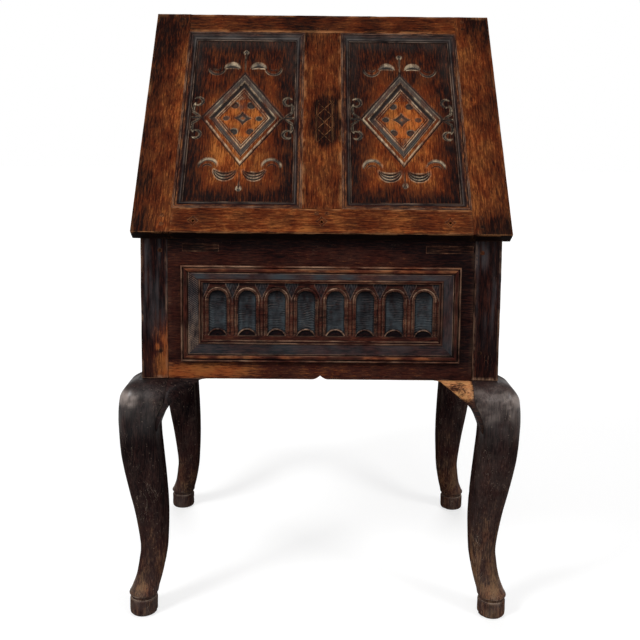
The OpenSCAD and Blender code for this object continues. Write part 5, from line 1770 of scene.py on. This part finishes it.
def leg_rows():
    """Stations of a leg from the case to the floor: height, outer and inner face, three roundings."""
    top, mid = LEG_TOP, LEG_TOP - KNEE_DROP - ANKLE_H
    out = ANKLE_OUT
    swell = KNEE_OUT - out
    rows = [
        [top, SHOULDER_OUT, -POST_W, 5, 1.5, 2],
        [top - 8, KNEE_OUT - 18, -POST_W, 14, 1.5, 2],
        [top - 23, KNEE_OUT - 6, -POST_W, 24, 2, 2],
        [top - 38, KNEE_OUT - 2, -POST_W + KNEE_HOLLOW * 0.25, 29, 3, 3],
        [top - KNEE_DROP, KNEE_OUT, -POST_W + KNEE_HOLLOW, 31, 6, 3],
        [top - KNEE_DROP - 29, KNEE_OUT - 0.8, -POST_W + KNEE_HOLLOW * 1.05, 31, 10, 4],
        [ANKLE_H + mid * 0.70, out + swell * 0.87, -34.5, 29, 12, 4],
        [ANKLE_H + mid * 0.47, out + swell * 0.58, -39, 27, 13, 5],
        [ANKLE_H + mid * 0.24, out + swell * 0.24, -42, 24, 14, 7],
        [ANKLE_H, out, out - ANKLE_W, 21, 15, 11],
        [ANKLE_H * 0.78, out + 1.6, out - ANKLE_W + 2.5, 21, 17, 14],
        [ANKLE_H * 0.54, out + 7, out - ANKLE_W + 8, 23, 21, 20],
        [TOE_H + 9, TOE_R - 4.5, -TOE_R - 1.5, 24, 23, 23],
        [TOE_H, TOE_R, -TOE_R, TOE_R, TOE_R, TOE_R],
        [TOE_H - 4, PAD_R - 1, -PAD_R + 2, PAD_R - 1, PAD_R - 1, PAD_R - 1],
        [PAD_H - 1, PAD_R - 3, -PAD_R + 3, PAD_R - 3, PAD_R - 3, PAD_R - 3]]
    return np.array(rows, float)


def blended_rows(rows, steps):
    """The stations with smooth ones between them."""
    last = len(rows) - 1
    made = []
    for k in range(last):
        a, b, c, d = (rows[min(max(j, 0), last)] for j in (k - 1, k, k + 1, k + 2))
        for t in np.arange(steps) / steps:
            made.append(0.5 * (2 * b + (c - a) * t + (2 * a - 5 * b + 4 * c - d) * t ** 2
                               + (3 * b - a - 3 * c + d) * t ** 3))
    return made


def pad_rows():
    """Round stations of the pad foot, from its upper edge to the floor."""
    edge = [(PAD_H - 0.4, 2.6), (PAD_H - 0.9, 1.4), (PAD_H - 2.2, 0.4), (PAD_H - 4, 0), (22, 0), (16, 0.1),
            (10, 0), (5, 0.2), (2.4, 0.8), (0.9, 2.0), (0, 3.8)]
    return [np.array([z, PAD_R - cut, cut - PAD_R] + 3 * [PAD_R - cut]) for z, cut in edge]


def leg_ring(row, arc=9, flat=5):
    """Rounded square of one station, as points that keep their place from station to station."""
    height, outer, inner = row[:3]
    half = (outer - inner) / 2 - 0.02
    ro, rs, ri = np.minimum(row[3:], half)
    turn_points = []
    for (x, y, sx, sy, r, turn) in ((outer, outer, 1, 1, ro, 0), (inner, outer, -1, 1, rs, 90),
                                    (inner, inner, -1, -1, ri, 180), (outer, inner, 1, -1, rs, 270)):
        angles = np.radians(turn + np.linspace(0, 90, arc))
        turn_points.append(np.stack([x - sx * r + r * np.cos(angles), y - sy * r + r * np.sin(angles)], 1))
    ring = []
    shares = np.linspace(0, 1, flat)[1:-1, None]
    for k, turn in enumerate(turn_points):
        start, end = turn[-1], turn_points[(k + 1) % 4][0]
        ring += [turn, start + (end - start) * shares]
    ring = np.concatenate(ring)
    return np.column_stack([ring, np.full(len(ring), height)])


def at_corner(side, end):
    """Places points drawn for the right rear corner, from the outer edge of its post."""
    def place(points):
        return points * (side, end, 1) + (side * OUTER_X, end * OUTER_Y, 0)
    return place


def wear_leg(points, seed):
    """Shallow tool marks, dents and a chipped foot, all inward."""
    rows = np.array(blended_rows(leg_rows(), 2))[::-1]
    middle = np.interp(points[:, 2], rows[:, 0], (rows[:, 1] + rows[:, 2]) / 2)
    out = points - middle[:, None]
    out[:, 2] = 0
    out /= np.maximum(np.linalg.norm(out, axis=1), 1e-6)[:, None]
    sink = mottle(points, 0.5, (0.3, (30, 30, 60)), (0.2, 12), seed)
    dents = smooth(noise(points, 9, seed + 2), 0.62, 0.95)
    foot = smooth(-points[:, 2], -30, -6) * smooth(noise(points, 8, seed + 3), 0.2, 0.8)
    return points - out * (0.6 * sink + 0.7 * dents + 1.4 * foot)[:, None]


def make_legs():
    """The four legs, all from the same drawing, each with its own wear."""
    rows = blended_rows(leg_rows(), 7) + [leg_rows()[-1]] + pad_rows()
    rings = np.array([leg_ring(row) for row in rows])
    for side_name, side in SIDES.items():
        for end_name, end in ENDS.items():
            name = f"leg_{end_name}_{side_name}"
            points, quads, ends = loft_mesh(rings)
            points = wear_leg(points, zlib.crc32(name.encode()) % 1000)
            inner = smooth(-points[:, :2].min(1), POST_W - 8, POST_W - 3)
            quiet = inner * smooth(points[:, 2], LEG_TOP - EAR_HEIGHT - 8, LEG_TOP - EAR_HEIGHT)
            piece = make_piece(name + "_wood", points, quads, ends, at_corner(side, end), 2,
                               leg_tone(LEG_LEVEL[side_name]), quiet=quiet,
                               bloom_and_sheen=leg_dust_and_highlight(LEG_SHEEN_AND_DUST[side_name]), shine=leg_shine)
            fit(piece, LEG_OAK, "case")


# Lower edge of a bracket: drop from its top, and reach beyond the post
EAR_EDGE = np.array([
    [0, EAR_LENGTH], [1, EAR_LENGTH - 8], [2.6, EAR_LENGTH - 13], [6, EAR_LENGTH - 17],
    [EAR_HEIGHT * 0.366, 12.5], [EAR_HEIGHT * 0.43, 6.5], [EAR_HEIGHT * 0.5, 2], [EAR_HEIGHT * 0.55, -1],
    [EAR_HEIGHT * 0.72, -9], [EAR_HEIGHT * 0.88, -15], [EAR_HEIGHT, -18]])


def ear_ring(drop, rows):
    """One level of a knee bracket, drawn for the right rear corner along the back."""
    height = LEG_TOP - drop
    row = [np.interp(height, rows[::-1, 0], rows[::-1, k]) for k in range(5)]
    near = row[2] - JOINT_GAP
    tip = min(-POST_W - np.interp(drop, EAR_EDGE[:, 0], EAR_EDGE[:, 1]), near - 0.8)
    x = near + (tip - near) * np.linspace(0, 1, 15)
    share = np.maximum(0, 1 - (-POST_W - x) / EAR_LENGTH)
    flush = row[1] - 0.5 - 0.9 * max(0, row[4] - 1.5)
    face = np.maximum(-EAR_THICK + 2, flush * np.minimum(1, share * share * 1.1) - (1 - share))
    rim = np.interp(np.abs(x - tip), [0, 0.8, 2.2], [1.3, 0.35, 0])
    face = face - np.minimum(rim, (face + EAR_THICK) * 0.4)
    front = np.column_stack([x, face])
    under = np.column_stack([np.full(3, tip), np.linspace(face[-1], -EAR_THICK, 5)[1:-1]])
    behind = np.column_stack([np.linspace(tip, near, 5), np.full(5, -EAR_THICK)])
    wall = np.column_stack([np.full(2, near), np.linspace(-EAR_THICK, face[0], 4)[1:-1]])
    ring = np.concatenate([front, under, behind, wall])
    return np.column_stack([ring, np.full(len(ring), height - JOINT_GAP)])


def bracket_tone(name):
    """One bracket is torn bare and orange at its end; the others are dark."""
    def tone(points):
        rough = mottle(points, 0, (0.2, (25, 8, 8)), (0.12, 7), 181)
        if name != TORN_BRACKET:
            return 0.14 + 0.7 * rough
        torn = smooth(points[:, 2], LEG_TOP - 38, LEG_TOP - 20) * smooth(-points[:, 0], 44, 54)
        return 0.12 + (0.85 + 2.2 * rough) * torn
    return tone


def make_brackets():
    """Six knee brackets: one beside each front leg along the front, and one at each leg along the side."""
    rows = np.array(blended_rows(leg_rows(), 6))
    drops = np.unique(np.concatenate([np.linspace(0, EAR_HEIGHT * 0.94, 42), EAR_EDGE[:4, 0]]))
    rings = [ear_ring(drop, rows) for drop in drops]
    for side_name, side in SIDES.items():
        for end_name, along_side in (("front", False), ("front", True), ("rear", True)):
            name = f"side_bracket_{end_name}_{side_name}" if along_side else f"front_bracket_{side_name}"
            points, quads, ends = loft_mesh(rings)
            points = points - np.array([0, 0.25, 0]) * (1 + noise(points, 14, len(name)))[:, None]
            quiet = 1 - 0.8 * smooth(-points[:, 0], 50, 60)
            if along_side:
                points = points[:, [1, 0, 2]]
            piece = make_piece(name + "_wood", points, quads, ends, at_corner(side, ENDS[end_name]),
                               1 if along_side else 0, bracket_tone(name), quiet=quiet, shine=bracket_shine)
            fit(piece, TORN_OAK if name == TORN_BRACKET else LEG_OAK, "case")


# ---------- hinges ----------

def finish_hinges():
    """The hinges keep their true shape and take the iron."""
    for name, piece in frame["nodes"].items():
        if name.startswith("hinge"):
            piece.data.materials.clear()
            piece.data.materials.append(IRON)


# ---------- studio ----------

# The camera's place in metres, its turns, and its picture in pixels
CAMERA_PLACE = (-0.01077, -1.71318, 0.85343)
CAMERA_YAW = math.radians(-0.31)
CAMERA_DOWN = math.radians(6.0)
CAMERA_ROLL = math.radians(0.58)
FRAME_PIXELS = 640
FOCAL_PIXELS = 844.6
RISE_PIXELS = 84.2
SENSOR_MM = 36.0


def make_camera():
    """The camera, slightly turned and rolled, looking down at the piece from the front."""
    data = bpy.data.cameras.new("camera")
    data.sensor_width = SENSOR_MM
    data.lens = FOCAL_PIXELS * SENSOR_MM / FRAME_PIXELS
    data.shift_y = -RISE_PIXELS / FRAME_PIXELS
    camera = bpy.data.objects.new("camera", data)
    bpy.context.scene.collection.objects.link(camera)
    right = Vector((math.cos(CAMERA_YAW), math.sin(CAMERA_YAW), 0))
    level = Vector((-math.sin(CAMERA_YAW), math.cos(CAMERA_YAW), 0))
    ahead = level * math.cos(CAMERA_DOWN) - Vector((0, 0, math.sin(CAMERA_DOWN)))
    up = right.cross(ahead)
    rolled_right = right * math.cos(CAMERA_ROLL) + up * math.sin(CAMERA_ROLL)
    rolled_up = up * math.cos(CAMERA_ROLL) - right * math.sin(CAMERA_ROLL)
    turn = Matrix((rolled_right, rolled_up, -ahead)).transposed().to_4x4()
    camera.matrix_world = Matrix.Translation(CAMERA_PLACE) @ turn
    bpy.context.scene.camera = camera


# Lamps: place, height of the point that they face, width and height in metres, and power
LAMPS = {"lamp_left": ((-2.1, -1.9, 2.7), 0.5, (0.9, 0.9), 72),
         "lamp_right": ((2.1, -1.7, 2.6), 0.5, (0.9, 0.9), 38),
         "lamp_front": ((0.3, -2.8, 2.4), 0.6, (1.8, 1.2), 20),
         "lamp_back": ((0.0, 2.6, 2.4), 0.7, (2.4, 1.4), 50)}


def make_lamp(name, place, aim, size, power):
    """A soft white lamp that faces the middle of the piece."""
    data = bpy.data.lights.new(name, "AREA")
    data.shape = "RECTANGLE"
    data.size, data.size_y = size
    data.energy = power
    lamp = bpy.data.objects.new(name, data)
    bpy.context.scene.collection.objects.link(lamp)
    lamp.location = place
    lamp.rotation_euler = (Vector((0, 0, aim)) - Vector(place)).to_track_quat("-Z", "Y").to_euler()


def seen_ray(tree):
    """1 for rays that show the background: from the camera, or by way of gloss or glass."""
    path = add_node(tree, "LightPath")
    first = add_node(tree, "Math", path["Is Camera Ray"], path["Is Glossy Ray"], operation="MAXIMUM")[0]
    return add_node(tree, "Math", first, path["Is Transmission Ray"], operation="MAXIMUM")[0]


# Strength of the soft light all round, size of the floor and how bright it is near and far
AMBIENT = 0.20
FLOOR_HALF = 30.0
FLOOR_DROP = 0.0005
FLOOR_GREY = 0.45
FLOOR_NEAR = 0.62
FLOOR_FAR = 0.95


def make_world():
    """Soft white light all round, and plain white wherever the background is seen."""
    world = bpy.data.worlds.new("studio")
    world.use_nodes = True
    tree = world.node_tree
    tree.nodes.clear()
    soft = add_node(tree, "Background", (1, 1, 1, 1), AMBIENT)[0]
    white = add_node(tree, "Background", (1, 1, 1, 1), 1.0)[0]
    both = add_node(tree, "MixShader", seen_ray(tree), soft, white)[0]
    feed(tree, tree.nodes.new("ShaderNodeOutputWorld").inputs["Surface"], both)
    bpy.context.scene.world = world


def make_floor():
    """A pale floor that keeps the shadow and grows white further out."""
    mesh = bpy.data.meshes.new("studio_floor")
    square = [(x * FLOOR_HALF, y * FLOOR_HALF, 0) for x, y in ((-1, -1), (1, -1), (1, 1), (-1, 1))]
    mesh.from_pydata(square, [], [(0, 1, 2, 3)])
    floor = bpy.data.objects.new("studio_floor", mesh)
    floor.location.z = -FLOOR_DROP
    bpy.context.scene.collection.objects.link(floor)
    material = bpy.data.materials.new("Studio floor")
    material.use_nodes = True
    tree = material.node_tree
    shader = tree.nodes["Principled BSDF"]
    shader.inputs["Base Color"].default_value = (FLOOR_GREY, FLOOR_GREY, FLOOR_GREY, 1)
    shader.inputs["Roughness"].default_value = 0.9
    shader.inputs["Emission Color"].default_value = (1, 1, 1, 1)
    away = add_node(tree, "VectorMath", add_node(tree, "TexCoord")["Object"], operation="LENGTH")["Value"]
    lift = rise(tree, away, 1.0, 5.0, FLOOR_NEAR, FLOOR_FAR)
    feed(tree, shader.inputs["Emission Strength"], times(tree, seen_ray(tree), lift))
    mesh.materials.append(material)


def make_studio():
    """Camera, background, floor and lamps."""
    make_camera()
    make_world()
    make_floor()
    for name, settings in LAMPS.items():
        make_lamp(name, *settings)
    bpy.context.scene.view_settings.view_transform = "Standard"


make_studio()
make_lid_frame()
make_lid_panels()
make_lid_mouldings()
make_pegs("lid", to_lid, on_lid, lid_frame_tone)
make_pegs("case", in_case, in_case, plain_tone(-0.06, 91))
make_posts()
make_front()
make_carved_front()
make_sides()
make_back_and_bottom()
make_top()
make_legs()
make_brackets()
finish_hinges()
